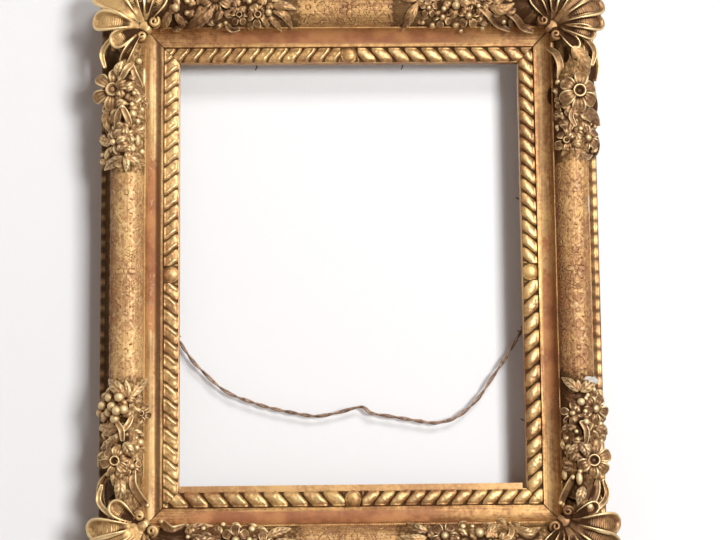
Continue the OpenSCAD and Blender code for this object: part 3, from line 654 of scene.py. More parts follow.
def panel_pattern(side, u, places):
    """The panel's cut outlines, its raised motifs, the grain of its ground, and where it shows."""
    engraved = ENGRAVED[side % 2].at(u, places)
    shown = within(u, *OPEN_PANEL[side], 6, 6)
    outline = np.exp(-((engraved - 0.34) / 0.26) ** 2) * shown * smoothstep(0.01, 0.12, engraved)
    motif = smoothstep(0.45, 0.8, engraved) * shown
    grain = 0.5 * noise2(u, places, 1.0, 11 + side) + 0.5 * noise2(u, places, 2.3, 17 + side)
    return outline, motif, grain, shown


def ridges(u, pitch):
    return np.abs(np.sin(np.pi * u / pitch))


def rail_relief(side, u, s, places, pattern, pit):
    """A rail's carving: height over the plain section."""
    outline, motif, grain, _ = pattern
    lobes, beads = ridges(u, GORGE_PITCH), ridges(u, DOT_PITCH)
    border = smoothstep(0.02, 0.12, 1 - np.abs(places) / PANEL_HALF_ARC)
    cut = (0.15 * motif - 0.60 * outline + 0.34 * grain * (1 - motif)) * border
    petals = 0.9 * np.sqrt(lobes) - 0.9 + 0.3 * np.cos(6 * np.pi * u / GORGE_PITCH) * lobes
    uneven = 0.16 * noise2(u, s, 17, 31 + side) + 0.09 * noise2(u, s, 4.5, 41 + side)
    relief = by_part(0, panel=cut, gorge=petals, edge=0.7 * np.sqrt(lobes) - 0.7, mid=0.22 * beads - 0.2,
                     cove=uneven, lip=uneven, inner=uneven, sight=uneven)
    from_hub = np.hypot(half_along(side) - np.abs(u) + HUB[0], s - HUB[1])
    return relief - 7.0 * pit - 3.0 * by_part(0, panel=smoothstep(46, 34, from_hub))


def worn_and_shaded_flank(side, places):
    """The half of a panel whose leaf is painted more rubbed, for wear and for the shade on it, and on the
    right rail darker too: the outer one, but the inner one on the right rail, which is turned from the lamps.
    """
    return smoothstep(0.1, 0.9, places / PANEL_HALF_ARC * (-1 if side == RIGHT else 1))


def rubbed_leaf(side, u, s, places, pattern):
    """The share of a rail's leaf that is rubbed through to the bole."""
    _, motif, _, shown = pattern
    drift = 18 * noise2(u, s, 30, 5 + side) + 8 * noise2(u, s, 7, 15 + side)
    rubbed = within(u + drift, *RUBBED[side], 60, 40)
    frieze = smoothstep(COVE_S - 0.5, COVE_S + 2.0, s) * smoothstep(MID_S, MID_S - 1.4, s)
    border = smoothstep(0.45, 0.0, 1 - np.abs(places) / PANEL_HALF_ARC)
    streaks = noise2(u + s, s, 9, 61 + side) + 0.6 * noise2(u - s, u, 3.5, 65 + side)
    # The extra bole on that half of the panel is part wear, part painted shade.
    worn = 0.20 + 0.16 * border + 0.32 * worn_and_shaded_flank(side, places) + 0.26 * streaks
    worn = worn - 0.16 * motif - 0.2 * (1 - shown)
    return by_part(0, cove=(0.16 + 0.62 * rubbed) * frieze, lip=0.2, sight=0.3, mid=0.22, panel=worn)


def rail_painted_light(side, u, s, places, pattern, pit):
    """How light a rail's gilding is painted: painted shade in its hollows and on the faces turned from the
    lamps, painted highlights on its raised and lit places.
    """
    left, right = side == LEFT, side == RIGHT
    outline, motif, grain, shown = pattern
    lobes, beads = ridges(u, GORGE_PITCH), ridges(u, DOT_PITCH)
    # The outer gorge and back edge are painted lighter on the right rail, which the lamps at the right light,
    # and darker as shade on the others.
    share = 0.15 if right else 0.02
    # The panel is painted darker in its cut lines and under the sprays, as their shade.
    panel = 0.48 - 0.31 * outline + 0.13 * motif + 0.16 * grain - 0.22 * (1 - shown)
    painted_light = by_part(0.5 + 0 * u, panel=panel, gorge=share + 0.16 * lobes, edge=share + 0.08 + 0.22 * lobes,
                     mid=0.44 + 0.12 * beads, floor=0.25, side=0.22)
    painted_light = np.where(half_along(side) + s - np.abs(u) < 0.8, np.minimum(painted_light, 0.22), painted_light)
    # Painted shade on the cove: over the whole of the left rail's, and growing towards the fillet on all of
    # them.
    shade_and_dirt, shade_to_fillet = (0.09, 0.26) if left else (0.0, 0.05)
    cove = SIDE_LIGHT[side] - shade_and_dirt - shade_to_fillet * smoothstep(26, 18, s)
    # On the right rail, a painted highlight along the cove's inner part and painted shade at its outer edge;
    # on the left rail, a painted highlight band along the cove.
    cove = cove + right * (0.20 * np.exp(-((s - 20.5) / 3) ** 2) - 0.16 * smoothstep(25, 29, s))
    cove = cove + left * np.exp(-((s - 25.2) / 2.3) ** 2) * (0.36 + 0.14 * noise2(u, s, 24, 81))
    # The hollows beside the outer scrolls are painted darker as their shade, and the right rail's panel
    # darker on its inner half, turned from the lamps.
    painted_light = painted_light - 0.6 * pit + by_part(0, panel=SIDE_LIGHT[side] - 0.10 * worn_and_shaded_flank(side, places) * right, cove=cove)
    return np.clip(painted_light, 0, 1)


def make_rail(side):
    half = half_along(side)
    s, h = PROFILE[:, 0][None, :], PROFILE[:, 1][None, :]
    u = np.linspace(-1, 1, ROWS)[:, None] * (half + s - MITRE_CRACK)
    step = np.roll(PROFILE, -1, axis=0) - np.roll(PROFILE, 1, axis=0)
    normal = unit(np.stack([-step[:, 1], step[:, 0]], axis=-1))
    places = PANEL_R * np.arctan2(s - PANEL_MID, h - (CREST_H - PANEL_R)) + 0 * u
    pattern, pit = panel_pattern(side, u, places), rail_hollows(side, u, s)
    relief = rail_relief(side, u, s, places, pattern, pit) * smoothstep(0, 1.5, half + s - np.abs(u))
    points = to_world(side, u, s + relief * normal[None, :, 0], h + relief * normal[None, :, 1])
    scratch = (side == RIGHT) * smoothstep(1.4, 0.5, np.hypot((u - 60) / 9, (s - 60.2) / 0.8))
    values = {"painted_light": rail_painted_light(side, u, s, places, pattern, pit),
              "bole": rubbed_leaf(side, u, s, places, pattern), "matt": by_part(0, panel=0.9, cove=0.25),
              "gesso": by_part(0, panel=scratch), "along": u, "across": s + h}
    mesh = ring_mesh("carved_rail_" + SIDE_NAMES[side], points, values, 38)
    wooden = np.tile(PARTS == "back", ROWS - 1)
    mesh.polygons.foreach_set("material_index", np.r_[wooden, True, True].astype(np.int32))
    gilt = LIT_RAIL_GILT if side == LEFT else RAIL_GILT
    make_piece(mesh, [gilt, BACK_WOOD], "frame", "gilt_rail", ["rail_" + SIDE_NAMES[side]])


# The twist band: ropes of lobes that lean the other way past the bead in the middle.
# For u below 0 and above it: the pitch of the lobes, and how fat they are, from ridged leaves to round rope.
LOBES = {BOTTOM: (18.0, 14.0), LEFT: (13.9, 13.6), TOP: (15.6, 13.1), RIGHT: (16.1, 12.9)}
FATNESS = {BOTTOM: (0.8, 1.0), LEFT: (0.35, 0.45), TOP: (1.0, 0.45), RIGHT: (1.0, 1.0)}
BAND = (0.7, FILLET_S - 0.05)
BEAD = 7.4


def twist_surface(side, x, u, s, seat_h):
    """Height of a twist's top, and the two values that its gilding reads."""
    pick = (u > 0).astype(int)
    pitch, fat = np.array(LOBES[side])[pick], np.array(FATNESS[side])[pick]
    lean = (3.4 + 1.4 * fat) * (x + (0.25 - 0.17 * fat) * np.sin(np.pi * x))
    phase = (np.abs(u) - BEAD + lean) / pitch
    share = phase - np.floor(phase)
    gap = np.clip(np.minimum(share, 1 - share) / 0.19, 0, 1)
    from_middle = (share - 0.5) / (0.5 - 0.17 * np.abs(x) ** 2.5)
    rope = np.sqrt(np.clip(1 - from_middle ** 2, 0, 1)) * (1.12 - 0.30 * share)
    worn = 0.75 + 0.45 * noise2(u, s, 6.5, 90 + side)
    leaf = 0.42 * gap ** 0.5 * (1 - 0.5 * share) + 0.85 * worn * np.exp(-((share - 0.2) / 0.13) ** 2)
    lobe = fat * rope + (1 - fat) * leaf
    dome = np.sqrt(np.clip(1 - np.abs(x) ** 2.2, 0, 1)) ** 0.8
    height = 0.5 + dome * (1.6 + 3.4 * lobe) + 1.5 * smoothstep(0.65, 1.0, x)
    rough = 0.45 - 0.25 * fat
    height = height + (rough * noise2(u, s, 2.4, 70 + side) + rough * noise2(u, s, 5, 75 + side)) * dome
    bead = np.sqrt(np.clip(1 - (u / (BEAD * 1.02)) ** 2 - (x * 0.88) ** 2, 0, 1))
    hollow = smoothstep(BEAD - 2.0, BEAD + 0.3, np.abs(u))
    top = SEAT_H + height * hollow + (1 - hollow) * 1.6
    top = np.maximum(np.maximum(top, SEAT_H + 5.0 * bead), seat_h + 0.3)
    # Painted light on the twist: highlights on the lobes' tops and on the leaf lobes' ridges, painted shade
    # in the gaps and round the bead.
    painted_light = 0.15 - 0.12 * fat + 0.52 * np.clip(lobe, 0, 1.2) * dome + 0.18 * gap
    painted_light = painted_light + (1 - fat) * 0.22 * np.exp(-((share - 0.17) / 0.09) ** 2) * dome
    painted_light = np.where(np.abs(u) < BEAD + 1.0, 0.24 + 0.32 * bead, painted_light)
    painted_light = np.where(np.abs(u) > half_along(side) + s - 0.5, 0.25, painted_light)
    return top, painted_light, 0.10 + 0.16 * (1 - dome) + (1 - fat) * 0.16 * (share > 0.35) + 0 * u


def make_twist(side):
    half, columns, step = half_along(side), 34, 0.5
    x = np.linspace(-1, 1, columns)[None, :]
    s = (BAND[0] + BAND[1]) / 2 + x * (BAND[1] - BAND[0]) / 2
    u = np.linspace(-1, 1, int((2 * half + LIP_W * 2) / step))[:, None] * (half + s - MITRE_CRACK)
    seat_h = SEAT_H + (LIP_H - SEAT_H) * smoothstep(LIP_W + 0.6, LIP_W - 0.6, s)
    top, painted_light, bole = twist_surface(side, x, u, s, seat_h)
    points = np.concatenate([to_world(side, u, s, top), to_world(side, u, s, seat_h + 0.02)[:, ::-1]], axis=1)
    values = {"painted_light": np.clip(np.concatenate([painted_light, 0 * painted_light + 0.3], axis=1), 0, 1),
              "bole": np.concatenate([bole, bole], axis=1)}
    mesh = ring_mesh("carved_twist_" + SIDE_NAMES[side], points, values, 60)
    gilt = LIT_TWIST_GILT if side == LEFT else TWIST_GILT
    make_piece(mesh, [gilt], "frame", "gilt_twist", ["sight_twist_" + SIDE_NAMES[side]])


for side in range(4):
    make_rail(side)
for side in range(4):
    make_twist(side)


# Carving: petals, leaves, buds, stems, scrolls and shell lobes, joined into one solid a piece.
def seat(s):
    """Height of the ground that carving follows: the panel's arch, carried on past both its edges."""
    s = np.asarray(s, float)
    arch = CREST_H - PANEL_RISE * np.clip(np.abs(s - PANEL_MID) / PANEL_HALF, 0, 1) ** 2
    return arch - 0.9 * np.clip(PANEL_S - s, 0, None) - 0.75 * np.clip(s - OUTER_S, 0, None)


def full_width(t):
    """Half width of a rounded petal along its length, 1 at its widest."""
    rise = 0.30 + 0.70 * np.sin(np.pi / 2 * np.clip(t / 0.60, 0, 1))
    return rise * np.sqrt(np.clip(1 - (np.clip(t - 0.60, 0, 1) / 0.40) ** 2.2, 0.0, 1))


def leaf_width(t):
    """Half width of a pointed leaf."""
    return np.sin(np.pi * np.clip(t, 0, 1) ** 0.8) ** 0.85 * (1 - 0.15 * t) + 0.04


class Carving(Solids):
    """Carved forms in (u, s, h): along, across and above the back of a rail, or from a corner's two sides."""

    def blade(self, points, half_width, top, thick, columns, rows):
        """A closed solid along a curve: half_width(t) to each side, top(t, x) above and about thick below."""
        path = curve(points, rows, ends=True)
        gone = np.r_[0, np.cumsum(np.linalg.norm(np.diff(path, axis=0), axis=1))]
        t, x = (gone / gone[-1])[:, None], np.linspace(-1, 1, columns)[None, :]
        way = unit(np.gradient(path, axis=0))
        across = unit(np.cross(way, (0.0, 0.0, 1.0)))
        normal = np.cross(across, way)
        w = np.maximum(half_width(t), 0.15)
        z = top(t, x)

        def surface(wide, height):
            return path[:, None] + across[:, None] * wide[..., None] + normal[:, None] * height[..., None]

        under = z[:, :1] * 0 + top(t, 0 * x) * 0.4 - thick * (0.3 + 0.7 * np.sqrt(1 - 0.9 * x * x))
        under = np.minimum(under, z - 0.6)
        upper, lower = surface(w * x, z), surface(w * 0.92 * x, under)
        self.rings(np.concatenate([upper, lower[:, ::-1]], axis=1))

    def turned(self, u, s, h, profile, sides=24):
        """A solid of revolution, its profile as (radius, height) from its top to its foot."""
        p = np.asarray(profile, float)
        turn = np.linspace(0, 2 * np.pi, sides, endpoint=False)[None, :]
        r, z = np.maximum(p[:, :1], 0.05), p[:, 1:]
        self.rings(np.stack([u + r * np.cos(turn), s + r * np.sin(turn), h + z + 0 * turn], axis=-1))

    def ball(self, u, s, lift, r, squash=1.0):
        a = np.linspace(0.02, math.pi - 0.02, 13)
        profile = np.stack([r * np.sin(a), r * squash * np.cos(a)], axis=-1)
        self.turned(u, s, seat(s) + lift, profile, sides=20)

    def bud(self, u0, s0, u1, s1, lift, r):
        """A plump bud or pod with lengthwise grooves."""
        middle = ((u0 + u1) / 2, (s0 + s1) / 2, (seat(s0) + seat(s1)) / 2 + lift + 0.5)
        path = [(u0, s0, seat(s0) + lift), middle, (u1, s1, seat(s1) + lift)]

        def edge(t):
            return r * np.sqrt(np.clip(1 - (2 * t - 1) ** 2, 0, 1))

        def top(t, x):
            grooves = 0.22 * np.cos(3 * np.pi * x) * np.sin(np.pi * t)
            return edge(t) * np.sqrt(np.clip(1 - x * x, 0, 1)) - grooves

        self.blade(path, edge, top, thick=r * 1.3, columns=15, rows=22)

    def leaf(self, points, width, ribs=5, lobes=0.10):
        """A leaf with a hollow midrib, slanting side veins and a lobed edge. points are (u, s, lift)."""
        path = [(u, s, seat(s) + lift) for u, s, lift in points]
        half = width * 0.62

        def edge(t):
            return half * leaf_width(t) * (1 - lobes + lobes * np.abs(np.sin(np.pi * ribs * t)) * 1.6)

        def top(t, x):
            swell = np.sin(np.pi * np.clip(t, 0, 1)) ** 0.6
            body = half * 0.40 * (1 - np.abs(x) ** 1.6) * swell
            rib = -1.0 * np.exp(-(x / 0.15) ** 2) * swell
            veins = 0.34 * np.cos(2 * np.pi * (ribs * t - 1.1 * np.abs(x))) * np.abs(x) ** 0.5 * swell
            return body + rib + veins

        self.blade(path, edge, top, thick=2.4, columns=17, rows=34)

    def petal(self, u, s, h, angle, inner, outer, width, rise, droop):
        """A petal from inner to outer radius round a flower's heart at height h."""
        points = []
        for share, z in ((0.0, -0.6), (0.45, rise), (0.8, rise * 0.55 - droop * 0.4), (1.0, -droop)):
            r = inner + share * (outer - inner)
            pu, ps = u + r * math.cos(angle), s + r * math.sin(angle)
            points.append((pu, ps, h + z + 0.45 * float(seat(ps) - seat(s))))
        half = width / 2

        def top(t, x):
            swell = np.sin(np.pi * t)
            lines = -0.42 * np.cos(4 * np.pi * x) * smoothstep(0.98, 0.45, t)
            rim = 0.50 * smoothstep(0.45, 0.95, np.abs(x)) * swell + 0.4 * smoothstep(0.75, 0.97, t)
            return lines + rim - 0.45 * (1 - x * x) * swell

        self.blade(points, lambda t: half * full_width(t), top, thick=2.2, columns=17, rows=24)

    def flower(self, u, s, lift, r, petals, turn, heart, fat=1.0, droop=2.0):
        """An open flower: petals round a ring, a cup or a ball, on a foot that reaches down to the rail."""
        h = float(seat(s)) + lift
        width = (0.45 + 0.5 * fat) * 2 * r * 0.70 * math.sin(math.pi / petals)
        for k in range(petals):
            a = math.radians(turn + 360 / petals * k + 4 * math.sin(7 * k + s))
            reach = r * (1 + 0.07 * math.sin(5 * k + u))
            self.petal(u, s, h - 0.13 * r * (k % 2), a, 0.22 * r, reach, width, 0.10 * r, droop + 0.05 * r)
        foot = [(0.30 * r, 0.0), (0.34 * r, -1.5), (0.46 * r, -lift - 3.0)]
        self.turned(u, s, h - 0.3, foot)
        q = 0.33 * r
        shapes = {
            "ring": [(0.02, 0.55), (0.16 * q, 0.75), (0.34 * q, 0.45), (0.5 * q, 0.4), (0.66 * q, 1.35),
                     (0.85 * q, 1.75), (q, 1.3), (1.04 * q, 0.2), (0.9 * q, -1.5)],
            "cup": [(0.02, -1.6), (0.4 * q, -1.2), (0.62 * q, 0.6), (0.78 * q, 2.0), (0.92 * q, 2.2),
                    (q, 1.4), (q, 0.0), (0.8 * q, -2.2)],
            "ball": [(0.02, q * 0.85), (0.35 * q, q * 0.78), (0.7 * q, q * 0.5), (0.95 * q, 0.1 * q),
                     (q, -0.3 * q), (0.8 * q, -1.5)]}
        self.turned(u, s, h + 0.4, shapes[heart], sides=28)

    def scroll(self, points, width, ends=(0.0, 0.0)):
        """A ribbon with raised borders; ends are the radii of the balls it curls to."""
        path = [(u, s, seat(s) + lift) for u, s, lift in points]
        self.blade(path, lambda t: width * 0.7 * (0.5 + 0.5 * np.sin(np.pi * t) ** 0.5),
                   lambda t, x: 1.4 * (0.45 + 0.75 * np.abs(x) ** 1.6) * np.sqrt(1 - 0.75 * np.abs(x) ** 8),
                   thick=3.0, columns=15, rows=40)
        for (u, s, lift), r in ((points[0], ends[0]), (points[-1], ends[1])):
            if r:
                self.ball(u, s, lift + 0.5, r, 0.9)

    def mounds(self, *places):
        """Low swellings of the ground, (u, s, half length, half width, lift), that join the forms on them."""
        a = np.linspace(0.02, math.pi / 2 + 0.5, 9)
        turn = np.linspace(0, 2 * np.pi, 28, endpoint=False)[None, :]
        r, z = np.sin(a)[:, None], np.cos(a)[:, None]
        for u, s, ru, rs, lift in places:
            pu, ps = u + ru * r * np.cos(turn), s + rs * r * np.sin(turn)
            self.rings(np.stack([pu, ps, seat(ps) - 1.2 + (lift + 1.2) * z], axis=-1))


# A carving's solids are joined on a grid of VOXEL, and each point then moves the share SOFTENING of the way
# to its neighbours' mean. Fine and broad hollows are measured against so many rounds of such means.
VOXEL, SOFTENING, FINE_ROUNDS, BROAD_ROUNDS = 0.6, 0.55, 3, 45


def stand_off(p):
    """How far world points stand off the ground that the carving follows."""
    return -p[:, 1] - seat(np.maximum(np.abs(p[:, 0]) - SIGHT_W / 2, np.abs(p[:, 2]) - SIGHT_H / 2))


def neighbour_mean(points, edges, times):
    """Points moved to the mean of their neighbours, that many times."""
    count = len(points)
    degree = np.bincount(edges.ravel(), minlength=count)[:, None].clip(1)
    for _ in range(times):
        total = np.zeros_like(points)
        for here, there in ((0, 1), (1, 0)):
            for k in range(3):
                total[:, k] += np.bincount(edges[:, here], points[edges[:, there], k], count)
        points = total / degree
    return points


def carved(name, carving, place, material, slot, node, base_light, bole=0.1, painted_shade=None, chip=None):
    """Joins a carving's solids into one skin, softens it, and measures its hollows and edges for the painted
    shade and highlights of its gilding.

    place turns (u, s, h) into world millimetres; the painted-shade function darkens the leaf at given points,
    and chip(points) bares the gesso."""
    rough = carving.mesh(name + "_rough", place)
    source = bpy.data.objects.new(name + "_rough", rough)
    bpy.context.collection.objects.link(source)
    remesh = source.modifiers.new("join", "REMESH")
    remesh.mode, remesh.voxel_size = "VOXEL", VOXEL * MM
    mesh = bpy.data.meshes.new_from_object(source.evaluated_get(bpy.context.evaluated_depsgraph_get()))
    bpy.data.objects.remove(source)
    bpy.data.meshes.remove(rough)
    mesh.name = name
    skin = read_rows(mesh.vertices, "co", 3).astype(float) / MM
    edges = read_rows(mesh.edges, "vertices", 2, np.int32)
    skin = (1 - SOFTENING) * skin + SOFTENING * neighbour_mean(skin, edges, 1)
    mesh.vertices.foreach_set("co", (skin * MM).astype(np.float32).ravel())
    mesh.update()
    normal = read_rows(mesh.vertex_normals, "vector", 3)
    # Hollows and places near the ground are painted darker as shade, and raised edges lighter as highlights,
    # on the piece's own overall level.
    fine = np.sum((skin - neighbour_mean(skin, edges, FINE_ROUNDS)) * normal, axis=1) / (0.32 * VOXEL)
    broad = np.sum((skin - neighbour_mean(skin, edges, BROAD_ROUNDS)) * normal, axis=1) / 1.1
    low = smoothstep(3.5, -1.5, stand_off(skin))
    painted_light = base_light + 0.16 * np.clip(fine, -1, 1) + 0.26 * np.clip(broad, -1, 1.2) - 0.30 * low
    painted_light = painted_light - (painted_shade(skin) if painted_shade else 0)
    set_values(mesh, {"painted_light": np.clip(painted_light, 0, 1), "bole": bole, "gesso": chip(skin) if chip else 0.0})
    mesh.polygons.foreach_set("use_smooth", np.ones(len(mesh.polygons), bool))
    make_piece(mesh, [material], "frame", slot, [node])


def left_top(c):
    c.mounds((-169, 52, 24, 18, 1), (-138, 52, 20, 16, 1), (-112, 50, 13, 14, 1))
    c.flower(-168, 59, 7, 19, 6, 130, "ring")
    c.scroll([(-177, 50, 3), (-185, 45, 5), (-190, 41, 3)], 4.5)
    c.scroll([(-190, 41, 3.5), (-183, 39, 4.5), (-170, 33, 2)], 4.5)
    c.leaf([(-180, 54, 4), (-187, 53, 5), (-193, 49, 3)], 7)
    c.ball(-194, 35, 4, 3)
    c.bud(-190, 31, -172, 31, 2.5, 2.3)
    c.flower(-158, 33, 2.5, 7, 5, 180, "ball", droop=1)
    c.leaf([(-169, 40, 2), (-163, 37, 3), (-154, 31, 1)], 5.5)
    c.scroll([(-150, 49, 5.5), (-143, 53, 5), (-132, 55, 2)], 4.5, ends=(2, 0))
    c.scroll([(-150, 49, 5.5), (-142, 45, 5), (-134, 42, 2)], 4.5)
    c.leaf([(-153, 58, 1), (-142, 64, 3), (-129, 62, 1.5)], 11)
    c.ball(-144, 40, 2.5, 4)
    c.ball(-138, 36, 3, 3)
    c.leaf([(-124, 58, 2), (-127, 52, 4.5), (-130, 45, 2)], 7)
    c.bud(-126, 36, -115, 36, 3, 3)
    c.leaf([(-119, 60, 4), (-121, 66, 5), (-124, 73, 3)], 7)
    c.bud(-115, 61, -105, 66, 4, 3.3)
    c.leaf([(-118, 55, 4), (-120, 50, 5), (-124, 44, 2.5)], 6.5)
    c.leaf([(-123, 58, 4.5), (-131, 59, 3)], 4.5)
    c.leaf([(-116, 57, 4), (-107, 55, 2.5)], 4.5)
    c.ball(-119, 58, 6, 3)
    c.leaf([(-104, 47, 2.5), (-100, 58, 5), (-95, 68, 3.5)], 8)
    c.leaf([(-105, 46, 2.5), (-101, 39, 4), (-94, 33, 1.5)], 6.5)
    c.leaf([(-105, 44, 2.5), (-106, 38, 3.5), (-105, 32, 1)], 5.5)
    c.leaf([(-105, 47, 2.5), (-99, 45, 3.5), (-90, 46, 1.5)], 5.5)
    c.leaf([(-112, 52, 2), (-112, 43, 3), (-110, 36, 1)], 6.5)


def left_bottom(c):
    c.mounds((117, 50, 18, 16, 1), (144, 50, 20, 16, 1), (168, 49, 18, 15, 1))
    c.leaf([(113, 44, 3), (105, 52, 5.5), (96, 62, 3)], 9)
    c.leaf([(113, 41, 3), (104, 34, 5), (95, 27, 2.5)], 8)
    c.leaf([(113, 43, 3), (105, 43, 4), (97, 45, 2)], 5.5)
    for u, s, lift in ((120, 67, 5), (121, 57, 7.5), (129, 64, 5), (132, 54, 6), (113, 60, 5.5),
                       (113, 50, 5.5), (124, 46, 6), (126, 60, 7), (125, 52, 8.5), (126, 69, 3)):
        c.ball(u, s, lift, 4.4)
    c.flower(127, 32, 3.5, 9, 5, -150, "cup")
    c.leaf([(139, 48, 2.5), (141, 59, 5), (137, 70, 3.5)], 12, ribs=6)
    c.scroll([(152, 47, 3), (142, 48, 5), (134, 53, 5)], 4)
    c.scroll([(144, 48, 4), (137, 42, 5), (130, 39, 4)], 4)
    c.leaf([(147, 52, 3), (153, 58, 5), (160, 63, 3)], 8)
    c.leaf([(153, 46, 3), (159, 42, 5), (167, 38, 2.5)], 8.5)
    c.ball(153, 33, 2, 4)
    c.leaf([(142, 38, 1), (147, 33, 3), (154, 30, 1)], 6.5)
    c.flower(169, 54, 6.5, 13.5, 6, -165, "cup", fat=1.1)
    c.flower(174, 39, 4, 8.5, 5, -110, "ball")
    c.leaf([(166, 62, 2.5), (169, 68, 3), (175, 72, 1)], 6)
    c.leaf([(178, 55, 2.5), (183, 54, 4), (192, 56, 2)], 7)
    c.scroll([(176, 38, 2), (190, 38, 3), (201, 33, 2.5), (209, 27, 1)], 5.5, ends=(0, 2.6))
    c.scroll([(181, 62, 0), (190, 68, 1), (202, 69, 1), (214, 65, 0.5)], 5.5, ends=(2.4, 0))
    c.leaf([(184, 50, 1.5), (195, 49, 3), (206, 52, 1.5)], 9)


def right_top(c):
    c.mounds((163, 43, 18, 18, 1), (184, 59, 24, 11, 0.5), (156, 62, 18, 12, 1), (118, 61, 16, 14, 1),
             (120, 40, 13, 12, 1))
    c.scroll([(215, 61, 1), (205, 69, 1.5), (193, 72, 1), (178, 71, 0)], 5)
    c.leaf([(205, 47, 2), (193, 57, 3), (176, 62, 1.5)], 13.5, ribs=7)
    c.scroll([(208, 27, 1.5), (200, 33, 3), (189, 36, 2.5), (176, 35, 1)], 5)
    c.flower(163, 52, 7.5, 18.5, 6, 5, "cup", fat=1.25)
    c.flower(154, 38, 2, 8, 6, 0, "ball", droop=1)
    c.flower(143, 36.5, 1.5, 6.5, 5, 10, "ball", droop=1)
    c.leaf([(171, 31, 0.5), (163, 34, 1.5), (157, 32, 0.5)], 5.5)
    c.leaf([(140, 54, 4), (143, 64, 6), (135, 75, 3)], 12, lobes=0)
    c.flower(121, 60, 6.5, 12, 5, -15, "ball", fat=1.15)
    c.flower(118, 39.5, 2.5, 9.5, 5, 30, "ring")
    c.scroll([(149, 47, 2), (139, 44, 3), (130, 48, 3)], 3.6)
    c.scroll([(144, 41, 1), (134, 45, 2.5), (127, 43, 2.5)], 3.6)
    c.leaf([(110, 47, 1.5), (104, 56, 2.5), (107, 67, 0.5)], 6.5)
    c.leaf([(108, 50, 1), (100, 48, 0.5)], 4.5)
    c.leaf([(109, 40, 1), (102, 36, 0.5)], 5.5)


def right_bottom(c):
    c.mounds((-121, 44, 16, 16, 1), (-148, 46, 18, 16, 1), (-175, 48, 18, 16, 1), (-198, 44, 11, 14, 0.5))
    c.leaf([(-112, 44, 3), (-105, 38, 5), (-98, 31, 2.5)], 7)
    c.leaf([(-112, 46, 3), (-106, 54, 5.5), (-99, 61, 4)], 9)
    c.leaf([(-111, 45, 3), (-101, 44, 1.5)], 5)
    c.mounds((-101, 58, 5, 9, 3.5))
    c.flower(-127, 60, 7, 13, 5, -35, "ball")
    c.flower(-131, 39, 3.5, 9.5, 5, 0, "ball")
    c.ball(-121, 46, 4, 3.6)
    c.ball(-139, 50, 4.5, 3.3)
    c.scroll([(-158, 50, 3), (-146, 50, 5), (-138, 45, 4.5)], 4)
    c.scroll([(-148, 50, 4.5), (-140, 56, 5)], 4)
    c.leaf([(-144, 61, 2), (-146, 67, 3), (-150, 74, 0.5)], 10)
    c.ball(-159, 59, 4.5, 4.5)
    c.ball(-162, 35.5, 2, 3.6)
    c.leaf([(-148, 32, 0.5), (-153, 35, 2), (-160, 32, 0.5)], 6.5)
    c.leaf([(-157, 44, 3), (-164, 49, 5), (-172, 50, 3)], 8)
    c.leaf([(-158, 42, 3), (-166, 38, 4.5), (-173, 33, 2)], 8)
    c.flower(-173, 57, 7.5, 17, 6, 8, "cup", fat=1.2)
    c.bud(-180, 32, -191, 32, 1.5, 3)
    c.bud(-183, 43, -195, 43, 2.5, 3)
    c.scroll([(-188, 38, 1.5), (-197, 34, 2.5), (-211, 28, 1.5)], 5, ends=(2.4, 2.4))
    c.scroll([(-191, 62, 1), (-203, 59, 2), (-214, 52, 2)], 5.5, ends=(0, 3.2))
    c.leaf([(-192, 64, 0), (-201, 69, 1), (-213, 71, 0)], 8)
    c.leaf([(-196, 47, 1), (-204, 44, 2.5), (-213, 41, 1.5)], 8)


def top_left(c):
    c.mounds((160, 46, 24, 16, 1), (123, 50, 24, 16, 1), (91, 50, 24, 16, 1))
    c.leaf([(124, 47, 3), (136, 37, 5.5), (152, 28, 2.5)], 13.5, ribs=7)
    c.flower(123, 54, 7, 15.5, 6, 90, "ball", fat=1.2)
    c.flower(101, 38, 4.5, 8.5, 5, 90, "cup")
    c.flower(84, 38, 5.5, 10.5, 5, 60, "ring")
    c.ball(74, 40, 4.5, 3.4)
    c.ball(92, 30, 2.5, 2.7)
    c.leaf([(72, 43, 2.5), (61, 39, 4), (52, 28, 2)], 7)
    c.leaf([(71, 46, 2.5), (59, 46, 4), (48, 43, 1.5)], 7)
    c.leaf([(75, 39, 2), (68, 33, 3.5), (62, 26, 1.5)], 6)
    c.leaf([(71, 51, 2.5), (60, 56, 3.5), (50, 58, 1)], 6.5)
    c.scroll([(114, 33, 2.5), (109, 28, 3), (101, 29, 2)], 4, ends=(2.2, 0))
    c.flower(91, 61, 5.5, 12.5, 5, 110, "ball")
    c.leaf([(80, 59, 2), (70, 68, 3), (62, 76, 0)], 8)
    c.leaf([(164, 42, 2.5), (169, 34, 4), (175, 27, 1.5)], 8)
    c.leaf([(160, 41, 2.5), (155, 34, 3.5), (156, 27, 1)], 6.5)
    c.ball(159, 44, 4.5, 4)
    c.flower(149, 61, 4.5, 11, 5, 90, "ball")
    c.leaf([(167, 54, 2), (171, 65, 3), (165, 75, 0)], 9)
    c.leaf([(133, 68, 1), (124, 75, 0), (113, 76, -1)], 8)


